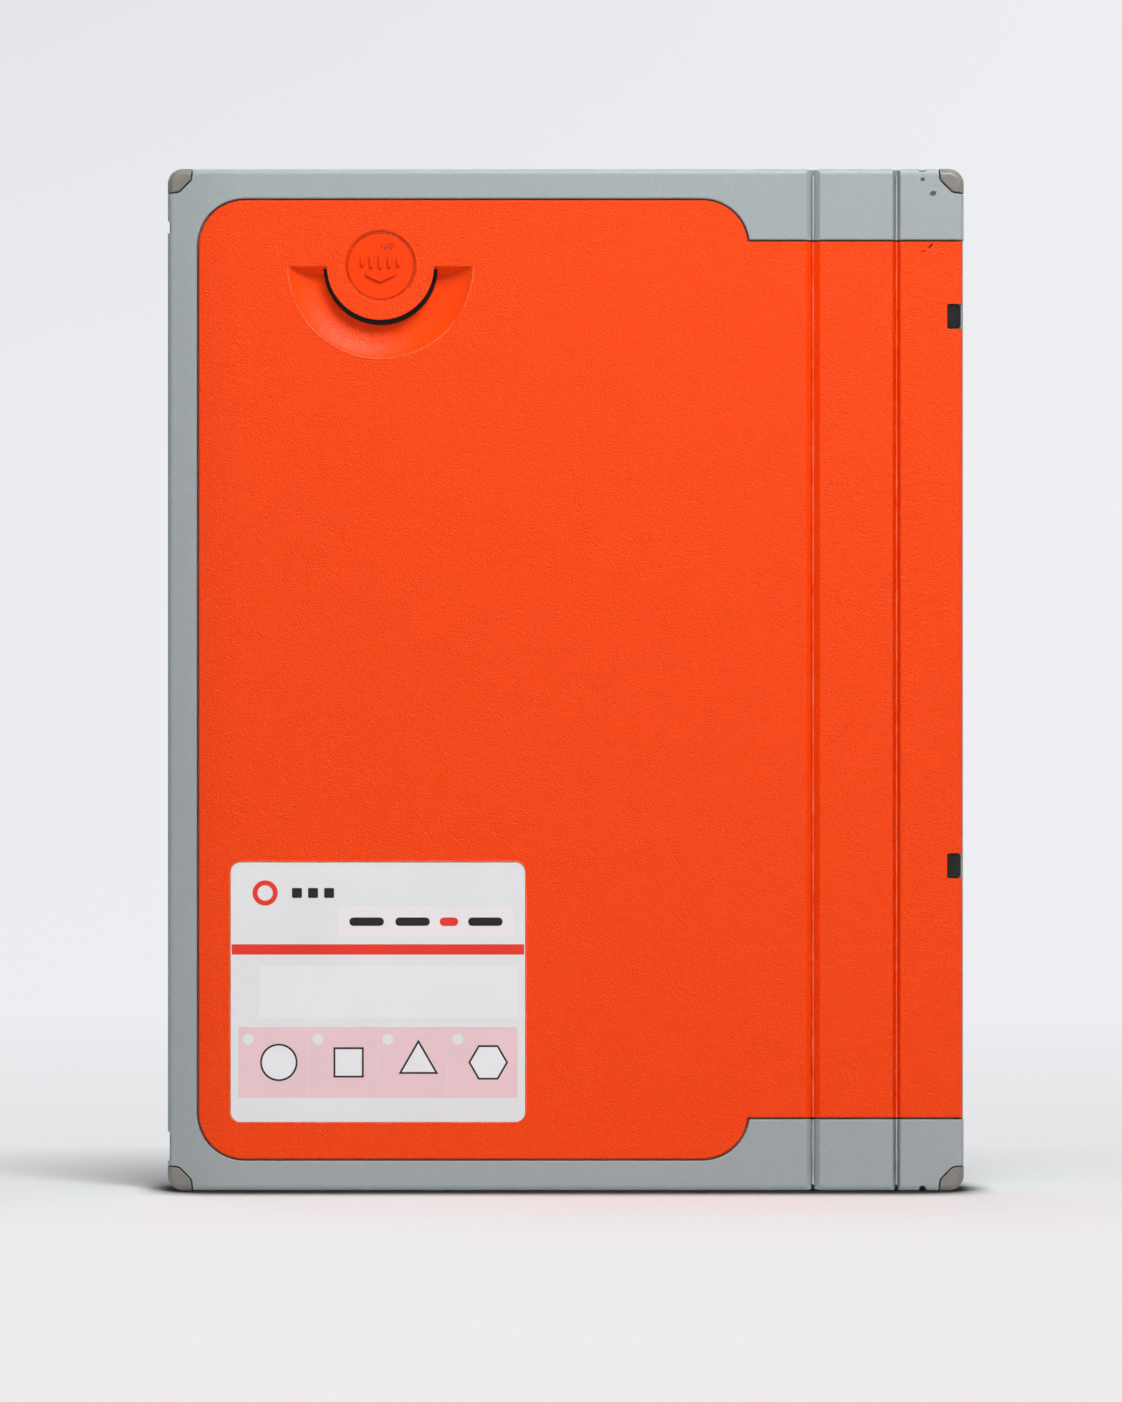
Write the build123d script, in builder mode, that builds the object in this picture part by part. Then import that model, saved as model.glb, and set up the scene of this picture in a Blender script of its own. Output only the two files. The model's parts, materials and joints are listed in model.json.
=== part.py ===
"""Imaging-plate cassette for mammography, 18 x 24 cm format, in millimetres.

A flat light-tight case that stands on its short edge. X runs from the latch side to the hinge side,
Z runs up the long side, and Y runs from the lid to the tube side, so the lid is looked at along +Y.
The cover is three plates, lid, spine and anchor strip, joined by two living hinges. The tray on the
tube side holds the plate. The origin is the middle of the bottom edge.

Levels are heights above the middle of the thickness, towards the lid: Plane.XZ faces that way.
"""
import os
from math import cos, radians, sin, tan

from build123d import *

os.makedirs("parts", exist_ok=True)

# ---- imaging plate -----------------------------------------------------------------------------
plate_width = 180.0
plate_height = 240.0
support_thickness = 1.5
phosphor_thickness = 0.3
phosphor_inset = 1.0
plate_corner = 3.0
plate_clearance = 0.5
liner_thickness = 0.6

# ---- case --------------------------------------------------------------------------------------
latch_margin = 6.0
hinge_margin = 22.0
end_margin = 13.5
thickness = 15.0
corner_radius = 4.0
edge_round = 1.6
tray_edge_round = 1.2
running_gap = 0.3

# ---- cover plates ------------------------------------------------------------------------------
skin = 1.8
skirt_wall = 1.6
skirt_depth = 3.9
side_border = 8.1
end_border = 8.3
step_border = 19.1
field_radius = 12.0
field_to_hinge = 17.0
panel_gap = 0.45
panel_edge_bevel = 0.3
frame_edge_bevel = 0.25
band_inset = 0.35
band_edge_round = 1.3
ledge_lap = 3.0
ledge_root = 1.0
ledge_thickness = 1.2

# ---- living hinges -----------------------------------------------------------------------------
anchor_width = 17.6
spine_width = 21.8
film_width = 0.8
film_thickness = 0.4
lid_groove_mouth = 3.6
spine_groove_mouth = 2.1
groove_shoulder = 0.3
edge_dip = 0.45
rail_setback = 1.0

# ---- tray --------------------------------------------------------------------------------------
tray_wall = 2.9
lip_wall = 1.0
lip_height = 1.6
tray_floor = 2.9
tube_panel_thickness = 1.4
tube_panel_lap = 2.5

# ---- corner bumpers ----------------------------------------------------------------------------
bumper_size = 6.4
bumper_draft = 0.3
bumper_bevel = 2.9
bumper_gap = 0.35
bumper_wall = 1.7
bumper_block = 1.2
bumper_edge_bevel = 0.25
bumper_rim_bevel = 1.3
bumper_kink_radius = 1.5

# ---- finger grip and button --------------------------------------------------------------------
grip_from_side = 55.6
grip_from_top = 25.5
dish_radius = 24.1
dish_depth = 3.2
dish_wall = 1.4
dish_draft = 35.0
tongue_radius = 14.0
slot_width = 0.9
slot_drop = 0.3
slot_start = 0.6
button_radius = 8.7
button_gap = 0.35
button_plate = 1.5
button_recess = 0.4
button_travel = 1.5
button_edge_bevel = 0.25
button_rim_bevel = 0.4
wedge_width = 6.0
wedge_tip = 1.0
wedge_reach = 2.3
wedge_clearance = 0.14
snap_wall = 1.4
snap_reach = 1.1
snap_width = 4.0
snap_height = 1.2
snap_play = 0.1
snap_drop = 3.2
pocket_wall = 0.8
pocket_overlap = 1.6

# ---- latch -------------------------------------------------------------------------------------
slider_thickness = 1.8
slider_bar_width = 7.6
slider_side_gap = 0.5
slider_end_gap = 12.0
arm_width = 4.9
hand_border = 2.2
slot_play = 0.3
guide_radius = 1.0
guide_play = 0.2
guide_from_side = 5.1
guide_from_end = 26.0
guide_count = 4
hook_count = 3
hook_length = 5.0
hook_stem = 1.2
hook_nose = 1.1
hook_nose_height = 1.2
hook_grip = 1.1
hook_bevel = 0.6
hook_lane = 4.2
hook_lane_gap = 0.6
hook_end_margin = 50.0
strike_length = 12.0
strike_wall = 0.7
strike_drop = 0.9
strike_height = 4.5
strike_shelf_drop = 1.0
strike_shelf_height = 0.8
strike_gap = 0.4
spring_radius = 1.0
spring_wire = 0.2
spring_wire_sides = 6
spring_turns = 5
spring_length = 13.8
spring_from_side = 15.0
spring_seat_width = 4.0
spring_seat_wall = 2.0
spring_spigot_radius = 0.65
spring_spigot_length = 1.5

# ---- lid lining --------------------------------------------------------------------------------
backing_gap = 3.8
backing_thickness = 1.2
foil_thickness = 0.3
foam_cover_thickness = 0.4
lining_hinge_gap = 4.0
lining_corner = 4.0
boss_radius = 2.4
boss_columns = 2
boss_rows = 4
boss_from_side = 24.0
boss_from_hinge = 14.6
boss_from_bottom = 28.0
boss_from_top = 41.0
rib_thickness = 1.2
seal_width = 1.6
seal_thickness = 0.5
seal_offset = 0.1
seal_end_gap = 0.8

# ---- screws ------------------------------------------------------------------------------------
screw_radius = 1.0
screw_fit = 0.03
screw_clearance = 0.2
flat_head_radius = 1.9
flat_head_height = 1.0
flat_screw_length = 4.2
pan_head_radius = 2.2
pan_head_height = 1.2
pan_head_play = 0.2
pan_screw_length = 8.0
anchor_boss_radius = 3.0
anchor_screw_count = 5
anchor_screw_inset = 8.5
anchor_screw_margin = 6.0
anchor_rail_thickness = 2.4

# ---- edge details ------------------------------------------------------------------------------
clip_width = 3.4
clip_length = 6.2
clip_inset = 0.8
clip_recess = 0.5
clip_play = 0.15
clip_foot_width = 1.2
clip_foot_length = 4.0
clip_foot_depth = 3.0
clip_edge_round = 0.8
clip_notch_round = 0.5
clip_slope_width = 1.3
clip_slope_drop = 0.8
upper_clip_from_top = 38.6
lower_clip_from_bottom = 84.9
pin_slot_depth = 0.8
pin_slot_round = 0.6
upper_pin_slot_length = 3.4
upper_pin_slot_from_top = 15.2
lower_pin_slot_length = 7.8
lower_pin_slot_from_bottom = 11.5
pin_slot_reach = 5.0
edge_notch_width = 1.8
edge_notch_from_side = 10.8
bottom_notch_depth = 1.4
top_notch_depth = 0.6

# ---- label and tag -----------------------------------------------------------------------------
label_width = 76.9
label_height = 67.8
label_corner = 2.6
label_from_side = 16.5
label_from_bottom = 18.0
label_thickness = 0.25
label_recess = 0.3
label_play = 0.1
tag_radius = 6.0
tag_thickness = 1.2
tag_from_bottom = 52.0
cut_over = 1.0

# ---- places worked out from the sizes above ----------------------------------------------------
width = latch_margin + plate_width + hinge_margin
height = plate_height + 2 * end_margin
half_width = width / 2
mid_height = height / 2

lid_face = thickness / 2
tube_face = -lid_face
skin_back = lid_face - skin
skirt_end = lid_face - skirt_depth
wall_top = skirt_end - running_gap
ledge_back = skin_back - ledge_thickness
slider_front = ledge_back - running_gap
slider_back = slider_front - slider_thickness
backing_front = skin_back - backing_gap
backing_back = backing_front - backing_thickness
foil_back = backing_back - foil_thickness
floor_top = tube_face + tray_floor
tube_panel_top = tube_face + tube_panel_thickness
liner_top = tube_panel_top + liner_thickness
phosphor_top = liner_top + phosphor_thickness
support_top = phosphor_top + support_thickness
foam_cover_back = support_top + running_gap
foam_back = foam_cover_back + foam_cover_thickness
film_back = skin_back
film_front = film_back + film_thickness

spine_hinge_x = half_width - anchor_width
lid_hinge_x = spine_hinge_x - spine_width
film_half = film_width / 2
lid_end_x = lid_hinge_x - film_half
spine_start_x = lid_hinge_x + film_half
spine_end_x = spine_hinge_x - film_half
anchor_start_x = spine_hinge_x + film_half
plate_left_x = -half_width + latch_margin
plate_center_x = plate_left_x + plate_width / 2

field_left_x = -half_width + side_border
field_right_x = lid_hinge_x - field_to_hinge
field_width = field_right_x - field_left_x
field_center_x = (field_left_x + field_right_x) / 2
field_height = height - 2 * end_border
band_height = height - 2 * step_border

grip_x = -half_width + grip_from_side
grip_z = height - grip_from_top
slot_outer = tongue_radius + slot_width
dish_floor = lid_face - dish_depth
shell_back = dish_floor - dish_wall

slider_left_x = -half_width + tray_wall + slider_side_gap
slider_right_x = slider_left_x + slider_bar_width
wedge_root = lid_face - button_plate
wedge_end = wedge_root - wedge_reach
wedge_low_z = grip_z + running_gap
wedge_high_z = wedge_low_z + wedge_reach + wedge_tip
hand_window_top = wedge_high_z + button_travel + slot_play
hand_high_z = hand_window_top + hand_border
arm_low_z = hand_high_z - arm_width
hand_low_z = wedge_low_z + (wedge_root - slider_front) - wedge_clearance - hand_border
hand_half_width = wedge_width / 2 + slot_play + hand_border

tray_inner_x = -half_width + tray_wall
lining_left_x = tray_inner_x + hook_lane
lining_right_x = lid_hinge_x - lining_hinge_gap
lining_width = lining_right_x - lining_left_x
lining_center_x = (lining_left_x + lining_right_x) / 2

stem_right_x = lining_left_x - hook_lane_gap
stem_left_x = stem_right_x - hook_stem
nose_left_x = stem_left_x - hook_nose
shelf_end_x = stem_left_x - running_gap
strike_top = slider_back - strike_drop
strike_low = strike_top - strike_height
shelf_top = strike_top - strike_shelf_drop
shelf_low = shelf_top - strike_shelf_height
nose_front = shelf_low - strike_gap
nose_back = nose_front - hook_nose_height
hook_pitch = (height - 2 * hook_end_margin) / (hook_count - 1)
hook_centers = [hook_end_margin + index * hook_pitch for index in range(hook_count)]
spring_x = -half_width + spring_from_side
spring_level = (slider_front + slider_back) / 2
spring_seat_z = arm_low_z - spring_length

anchor_screw_x = half_width - anchor_screw_inset
anchor_rail_back = skin_back - anchor_rail_thickness
anchor_screw_low_z = step_border + anchor_screw_margin
anchor_screw_pitch = (height - 2 * anchor_screw_low_z) / (anchor_screw_count - 1)
anchor_screw_zs = [anchor_screw_low_z + index * anchor_screw_pitch for index in range(anchor_screw_count)]
rail_low_z = tray_wall + running_gap
rail_height = height - 2 * rail_low_z
boss_low_z = boss_from_bottom
boss_high_z = height - boss_from_top
boss_pitch_x = (lid_hinge_x - boss_from_hinge + half_width - boss_from_side) / (boss_columns - 1)
boss_pitch_z = (boss_high_z - boss_low_z) / (boss_rows - 1)
boss_xs = [-half_width + boss_from_side + column * boss_pitch_x for column in range(boss_columns)]
boss_zs = [boss_low_z + row * boss_pitch_z for row in range(boss_rows)]
boss_places = [(x, z) for x in boss_xs for z in boss_zs]
clip_right_x = half_width - clip_inset
clip_center_x = clip_right_x - clip_width / 2
clip_centers = {
    "edge_clip_upper": height - upper_clip_from_top,
    "edge_clip_lower": lower_clip_from_bottom,
}
pin_slots = [
    (height - upper_pin_slot_from_top, upper_pin_slot_length),
    (lower_pin_slot_from_bottom, lower_pin_slot_length),
]
label_center_x = -half_width + label_from_side + label_width / 2
label_center_z = label_from_bottom + label_height / 2
label_back = lid_face - label_recess
corner_signs = {
    "corner_bumper_top_left": (-1, 1),
    "corner_bumper_top_right": (1, 1),
    "corner_bumper_bottom_left": (-1, -1),
    "corner_bumper_bottom_right": (1, -1),
}


# ---- outlines shared by several pieces ---------------------------------------------------------
def draw_case(inset=0.0, mode=Mode.ADD):
    """Rounded outline of the whole case, drawn in by inset."""
    with Locations((0, mid_height)):
        RectangleRounded(width - 2 * inset, height - 2 * inset, corner_radius - inset, mode=mode)


def draw_panel(grow=0.0, mode=Mode.ADD):
    """Outline of the coloured panel: a rounded field, and a band that runs out over the hinges."""
    with Locations((field_center_x, mid_height)):
        RectangleRounded(field_width + 2 * grow, field_height + 2 * grow, field_radius + grow, mode=mode)
    with Locations((half_width, mid_height)):
        Rectangle(2 * (half_width - field_center_x), band_height + 2 * grow, mode=mode)


def corner_footprints(grow):
    """Footprints of the four corner bumpers: inner corner cut off, and its two kinks rounded."""
    reach = bumper_size + grow
    bevel = bumper_bevel + grow * tan(radians(22.5))
    steps = [(reach, -cut_over), (reach - bumper_draft, bevel), (bevel, reach - bumper_draft), (-cut_over, reach)]
    with BuildSketch() as footprints:
        for side, end in corner_signs.values():
            corner_x = side * half_width
            corner_z = mid_height + end * mid_height
            inner = [(corner_x - side * x, corner_z - end * z) for x, z in steps]
            outer = (corner_x + side * cut_over, corner_z + end * cut_over)
            with BuildLine():
                FilletPolyline(*inner, radius=bumper_kink_radius + grow)
                Polyline(inner[-1], outer, inner[0])
            make_face()
    return footprints.sketch


def draw_corners(grow=0.0, mode=Mode.ADD):
    """Puts the corner bumpers' footprints into a sketch, grown by grow."""
    add(corner_footprints(grow), mode=mode)


def draw_groove(hinge_x, mouth):
    """V of a living hinge in plan, from its film out past the front face."""
    film_y = -film_front
    spread = (mouth - film_width) / 2
    depth = lid_face - film_front
    over = spread * (depth + cut_over) / depth
    Polygon(
        (hinge_x - film_half, film_y),
        (hinge_x + film_half, film_y),
        (hinge_x + film_half + over, film_y - depth - cut_over),
        (hinge_x - film_half - over, film_y - depth - cut_over),
        align=None,
    )


def keep_between(low_x, high_x):
    """Trims the cover plate that is being made to the stretch between two hinges."""
    split(bisect_by=Plane.YZ.offset(low_x), keep=Keep.TOP)
    split(bisect_by=Plane.YZ.offset(high_x), keep=Keep.BOTTOM)


def finish(piece, name):
    """Labels a finished piece and writes its file."""
    piece.label = name
    export_step(piece, f"parts/{name}.step")


with BuildSketch(Plane.XY) as hinge_grooves:
    draw_groove(lid_hinge_x, lid_groove_mouth)
    draw_groove(spine_hinge_x, spine_groove_mouth)


# ---- cover blank: the three frame plates as one moulding, before they are parted -----------------
with BuildPart() as cover_blank:
    with BuildSketch(Plane.XZ.offset(skirt_end)):
        draw_case()
    extrude(amount=skirt_depth)
    fillet(cover_blank.faces().sort_by(Axis.Y)[0].edges(), edge_round)
    with BuildSketch(Plane.XZ.offset(skirt_end)):
        draw_case(skirt_wall)
    extrude(amount=skin_back - skirt_end, mode=Mode.SUBTRACT)
    with BuildSketch(Plane.XZ.offset(skirt_end)):
        draw_corners(bumper_gap)
    extrude(amount=skirt_depth, mode=Mode.SUBTRACT)
    with BuildSketch(Plane.XZ.offset(skin_back)):
        draw_panel(panel_gap)
    extrude(amount=skin, mode=Mode.SUBTRACT)
    chamfer(cover_blank.edges(Select.LAST).group_by(Axis.Y)[0], frame_edge_bevel)
    with BuildSketch(Plane.XZ.offset(skirt_end)):
        with Locations((half_width, mid_height)):
            Rectangle(anchor_width, band_height + 2 * panel_gap)
    extrude(amount=skirt_depth, mode=Mode.SUBTRACT)
    extrude(hinge_grooves.sketch, amount=height, mode=Mode.SUBTRACT)
    fillet(cover_blank.edges(Select.LAST).filter_by(Axis.Z).group_by(Axis.Y)[0], groove_shoulder)
    with BuildSketch(Plane.XZ.offset(skirt_end)):
        for hinge_x, mouth in ((lid_hinge_x, lid_groove_mouth), (spine_hinge_x, spine_groove_mouth)):
            dip_radius = ((mouth / 2) ** 2 + edge_dip**2) / (2 * edge_dip)
            with Locations((hinge_x, edge_dip - dip_radius), (hinge_x, height - edge_dip + dip_radius)):
                Circle(dip_radius)
    extrude(amount=skirt_depth, mode=Mode.SUBTRACT)
    with BuildSketch(Plane.XZ.offset(skirt_end)):
        for slot_z, slot_length in pin_slots:
            with Locations((-half_width, slot_z)):
                RectangleRounded(2 * pin_slot_depth, slot_length, pin_slot_round)
        with Locations((half_width - edge_notch_from_side, 0)):
            SlotOverall(2 * bottom_notch_depth, edge_notch_width, rotation=90)
        with Locations((half_width - edge_notch_from_side, height)):
            Rectangle(edge_notch_width, 2 * top_notch_depth)
    extrude(amount=skirt_depth, mode=Mode.SUBTRACT)

# ---- lid ---------------------------------------------------------------------------------------
guide_pitch = (hand_high_z - 2 * guide_from_end) / (guide_count - 1)
guide_places = [
    (-half_width + guide_from_side, guide_from_end + index * guide_pitch) for index in range(guide_count)
]

with BuildPart() as lid_frame:
    add(cover_blank.part)
    keep_between(-width, lid_end_x)
    with BuildSketch(Plane.XZ.offset(ledge_back)):
        draw_panel(panel_gap + ledge_root)
        draw_panel(-ledge_lap, Mode.SUBTRACT)
        with Locations((lid_hinge_x - rail_setback - ledge_lap / 2, mid_height)):
            Rectangle(ledge_lap, band_height)
        with Locations((lid_hinge_x - rail_setback + width / 2, mid_height)):
            Rectangle(width, height, mode=Mode.SUBTRACT)
    extrude(amount=ledge_thickness)
    with BuildSketch(Plane.XZ.offset(slider_back - guide_play)):
        with Locations(*guide_places):
            Circle(guide_radius)
    extrude(amount=skin_back - slider_back + guide_play)
finish(lid_frame.part, "lid_frame")


def draw_dish(grow=0.0, top=lid_face + cut_over):
    """Half section of the finger dish: a flat floor and a wall that curves up to the rim."""
    floor_y = -(dish_floor - grow)
    rim_y = -(lid_face - grow)
    with BuildSketch(Plane.XY.offset(grip_z)) as section:
        with BuildLine():
            floor = Line((grip_x, floor_y), (grip_x + slot_outer, floor_y))
            wall = TangentArc(floor @ 1, (grip_x + dish_radius + grow, rim_y), tangent=(1, 0))
            lead = Line(wall @ 1, (grip_x + dish_radius + grow, -top - grow))
            over = Line(lead @ 1, (grip_x, -top - grow))
            Line(over @ 1, floor @ 0)
        make_face()
    return section.sketch


grip_axis = Axis((grip_x, 0, grip_z), (0, 1, 0))
dish_back = Vector(0, sin(radians(dish_draft)), cos(radians(dish_draft)))


def dish_back_plane(grow=0.0):
    """Drafted flat wall on the dish's upper side, moved out by grow."""
    corner = Vector(grip_x, -lid_face, grip_z)
    return Plane(origin=corner + dish_back * grow, x_dir=(1, 0, 0), z_dir=dish_back)


with BuildPart() as dish_hollow:
    revolve(draw_dish(), axis=grip_axis)
    split(bisect_by=dish_back_plane(), keep=Keep.BOTTOM)
    with BuildSketch(Plane.XZ.offset(shell_back)):
        with Locations((grip_x, grip_z)):
            Circle(tongue_radius)
    extrude(amount=thickness, mode=Mode.SUBTRACT)

with BuildPart() as dish_shell:
    revolve(draw_dish(dish_wall, skin_back), axis=grip_axis)
    split(bisect_by=dish_back_plane(dish_wall), keep=Keep.BOTTOM)
    with BuildSketch(Plane.XZ.offset(shell_back)):
        with Locations((grip_x, grip_z - slot_drop)):
            Circle(slot_outer)
    extrude(amount=skin_back - shell_back, mode=Mode.SUBTRACT)

with BuildPart() as lid_panel:
    with BuildSketch(Plane.XZ.offset(skin_back)):
        draw_panel()
    extrude(amount=skin)
    chamfer(lid_panel.faces().sort_by(Axis.Y)[0].edges(), panel_edge_bevel)
    keep_between(-width, lid_end_x)
    add(dish_shell.part)
    add(dish_hollow.part, mode=Mode.SUBTRACT)
    with BuildSketch(Plane.XZ.offset(skin_back)):
        with Locations((grip_x, grip_z - slot_drop)):
            Circle(slot_outer)
        with Locations((grip_x, grip_z)):
            Circle(tongue_radius, mode=Mode.SUBTRACT)
        with Locations((grip_x, grip_z - slot_start + slot_outer)):
            Rectangle(2 * dish_radius, 2 * slot_outer, mode=Mode.SUBTRACT)
    extrude(amount=skin, mode=Mode.SUBTRACT)
    with BuildSketch(Plane.XZ.offset(skin_back)):
        with Locations((grip_x, grip_z)):
            Circle(button_radius + button_gap)
    extrude(amount=skin, mode=Mode.SUBTRACT)
    chamfer(lid_panel.edges(Select.LAST).group_by(Axis.Y)[0], button_rim_bevel)
    extrude(hinge_grooves.sketch, amount=height, mode=Mode.SUBTRACT)
    fillet(lid_panel.edges(Select.LAST).filter_by(Axis.Z).group_by(Axis.Y)[0], groove_shoulder)
    with BuildSketch(Plane.XZ.offset(label_back)):
        with Locations((label_center_x, label_center_z)):
            RectangleRounded(label_width + 2 * label_play, label_height + 2 * label_play, label_corner)
    extrude(amount=label_recess, mode=Mode.SUBTRACT)
    with BuildSketch(Plane.XZ.offset(backing_front)):
        with Locations(*boss_places):
            Circle(boss_radius)
        with Locations(*[(x, (boss_low_z + boss_high_z) / 2) for x in boss_xs]):
            Rectangle(rib_thickness, boss_high_z - boss_low_z)
        with Locations(*[((boss_xs[0] + boss_xs[-1]) / 2, z) for z in boss_zs[:-1]]):
            Rectangle(boss_xs[-1] - boss_xs[0], rib_thickness)
    extrude(amount=skin_back - backing_front)
    with BuildSketch(Plane.XZ.offset(backing_front)):
        with Locations(*boss_places):
            Circle(screw_radius + screw_fit)
    extrude(amount=flat_screw_length, mode=Mode.SUBTRACT)
    with BuildSketch(Plane.XZ.offset(slider_back)):
        with Locations((spring_x, spring_seat_z - spring_seat_wall / 2)):
            Rectangle(spring_seat_width, spring_seat_wall)
    extrude(amount=skin_back - slider_back)
    with BuildSketch(Plane.XY.offset(spring_seat_z)):
        with Locations((spring_x, -spring_level)):
            Circle(spring_spigot_radius)
    extrude(amount=spring_spigot_length)
finish(lid_panel.part, "lid_panel")

# black channel that shuts out light behind the slot of the dish
with BuildPart() as grip_pocket:
    with BuildSketch(Plane.XZ.offset(shell_back - pocket_wall)):
        with Locations((grip_x, grip_z)):
            Circle(slot_outer + pocket_overlap)
            Circle(tongue_radius - pocket_overlap, mode=Mode.SUBTRACT)
    extrude(amount=pocket_wall)
    with BuildSketch(Plane.XZ.offset(shell_back)):
        with Locations((grip_x, grip_z)):
            Circle(tongue_radius - pocket_overlap + pocket_wall)
            Circle(tongue_radius - pocket_overlap, mode=Mode.SUBTRACT)
    extrude(amount=skin_back - shell_back)
    split(bisect_by=Plane.XY.offset(grip_z), keep=Keep.BOTTOM)
finish(grip_pocket.part, "grip_pocket")

with BuildPart() as id_label:
    with BuildSketch(Plane.XZ.offset(label_back)):
        with Locations((label_center_x, label_center_z)):
            RectangleRounded(label_width, label_height, label_corner)
    extrude(amount=label_thickness)
finish(id_label.part, "id_label")


def draw_lining():
    """Outline of the sheets that line the lid over the imaging plate."""
    with Locations((lining_center_x, mid_height)):
        RectangleRounded(lining_width, plate_height, lining_corner)


with BuildPart() as lid_backing:
    with BuildSketch(Plane.XZ.offset(backing_back)):
        draw_lining()
    extrude(amount=backing_thickness)
    with Locations(*[Plane.XZ.offset(backing_back) * Location((x, z)) for x, z in boss_places]):
        Cone(
            flat_head_radius + screw_fit,
            screw_radius + screw_clearance,
            flat_head_height,
            align=(Align.CENTER, Align.CENTER, Align.MIN),
            mode=Mode.SUBTRACT,
        )
        Cylinder(
            screw_radius + screw_clearance,
            backing_thickness,
            align=(Align.CENTER, Align.CENTER, Align.MIN),
            mode=Mode.SUBTRACT,
        )
finish(lid_backing.part, "lid_backing")

with BuildPart() as backing_screws:
    with Locations(*[Plane.XZ.offset(backing_back) * Location((x, z)) for x, z in boss_places]):
        Cone(
            flat_head_radius,
            screw_radius,
            flat_head_height,
            align=(Align.CENTER, Align.CENTER, Align.MIN),
        )
        Cylinder(screw_radius, flat_screw_length, align=(Align.CENTER, Align.CENTER, Align.MIN))
finish(backing_screws.part, "backing_screws")

with BuildPart() as backscatter_foil:
    with BuildSketch(Plane.XZ.offset(foil_back)):
        draw_lining()
    extrude(amount=foil_thickness)
finish(backscatter_foil.part, "backscatter_foil")

with BuildPart() as pressure_foam:
    with BuildSketch(Plane.XZ.offset(foam_back)):
        draw_lining()
    extrude(amount=foil_back - foam_back)
finish(pressure_foam.part, "pressure_foam")

with BuildPart() as foam_cover:
    with BuildSketch(Plane.XZ.offset(foam_cover_back)):
        draw_lining()
    extrude(amount=foam_cover_thickness)
finish(foam_cover.part, "foam_cover")

# light_seal: three strips under the lid's border, each over a run of the tray's lip
seal_inset = skirt_wall + seal_offset + seal_width / 2
seal_corner = bumper_size + bumper_gap + seal_end_gap
seal_right_x = lid_hinge_x - rail_setback
seal_left_x = -half_width + seal_corner
with BuildPart() as light_seal:
    with BuildSketch(Plane.XZ.offset(skin_back - seal_thickness)):
        for seal_z in (seal_inset, height - seal_inset):
            with Locations(((seal_left_x + seal_right_x) / 2, seal_z)):
                Rectangle(seal_right_x - seal_left_x, seal_width)
        with Locations((-half_width + seal_inset, mid_height)):
            Rectangle(seal_width, height - 2 * seal_corner)
    extrude(amount=seal_thickness)
finish(light_seal.part, "light_seal")

# ---- button and latch --------------------------------------------------------------------------
snap_outer = button_radius + button_gap + snap_reach
with BuildPart() as open_button:
    with BuildSketch(Plane.XZ.offset(wedge_root)):
        with Locations((grip_x, grip_z)):
            Circle(button_radius)
    extrude(amount=button_plate - button_recess)
    chamfer(open_button.faces().sort_by(Axis.Y)[0].edges(), button_edge_bevel)
    for ring_outer, ring_top in ((snap_outer, skin_back - snap_play), (button_radius, wedge_root)):
        ring_low = skin_back - snap_play - snap_height
        with BuildSketch(Plane.XZ.offset(ring_low)):
            with Locations((grip_x, grip_z)):
                Circle(ring_outer)
                Circle(button_radius - snap_wall, mode=Mode.SUBTRACT)
            with Locations((grip_x, grip_z - snap_drop)):
                Rectangle(2 * snap_outer, snap_width, mode=Mode.INTERSECT)
        extrude(amount=ring_top - ring_low)
    with BuildSketch(Plane.YZ.offset(grip_x - wedge_width / 2)):
        Polygon(
            (-wedge_root, wedge_low_z),
            (-wedge_end, wedge_low_z + wedge_reach),
            (-wedge_end, wedge_high_z),
            (-wedge_root, wedge_high_z),
            align=None,
        )
    extrude(amount=wedge_width)
finish(open_button.part, "open_button")

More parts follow.
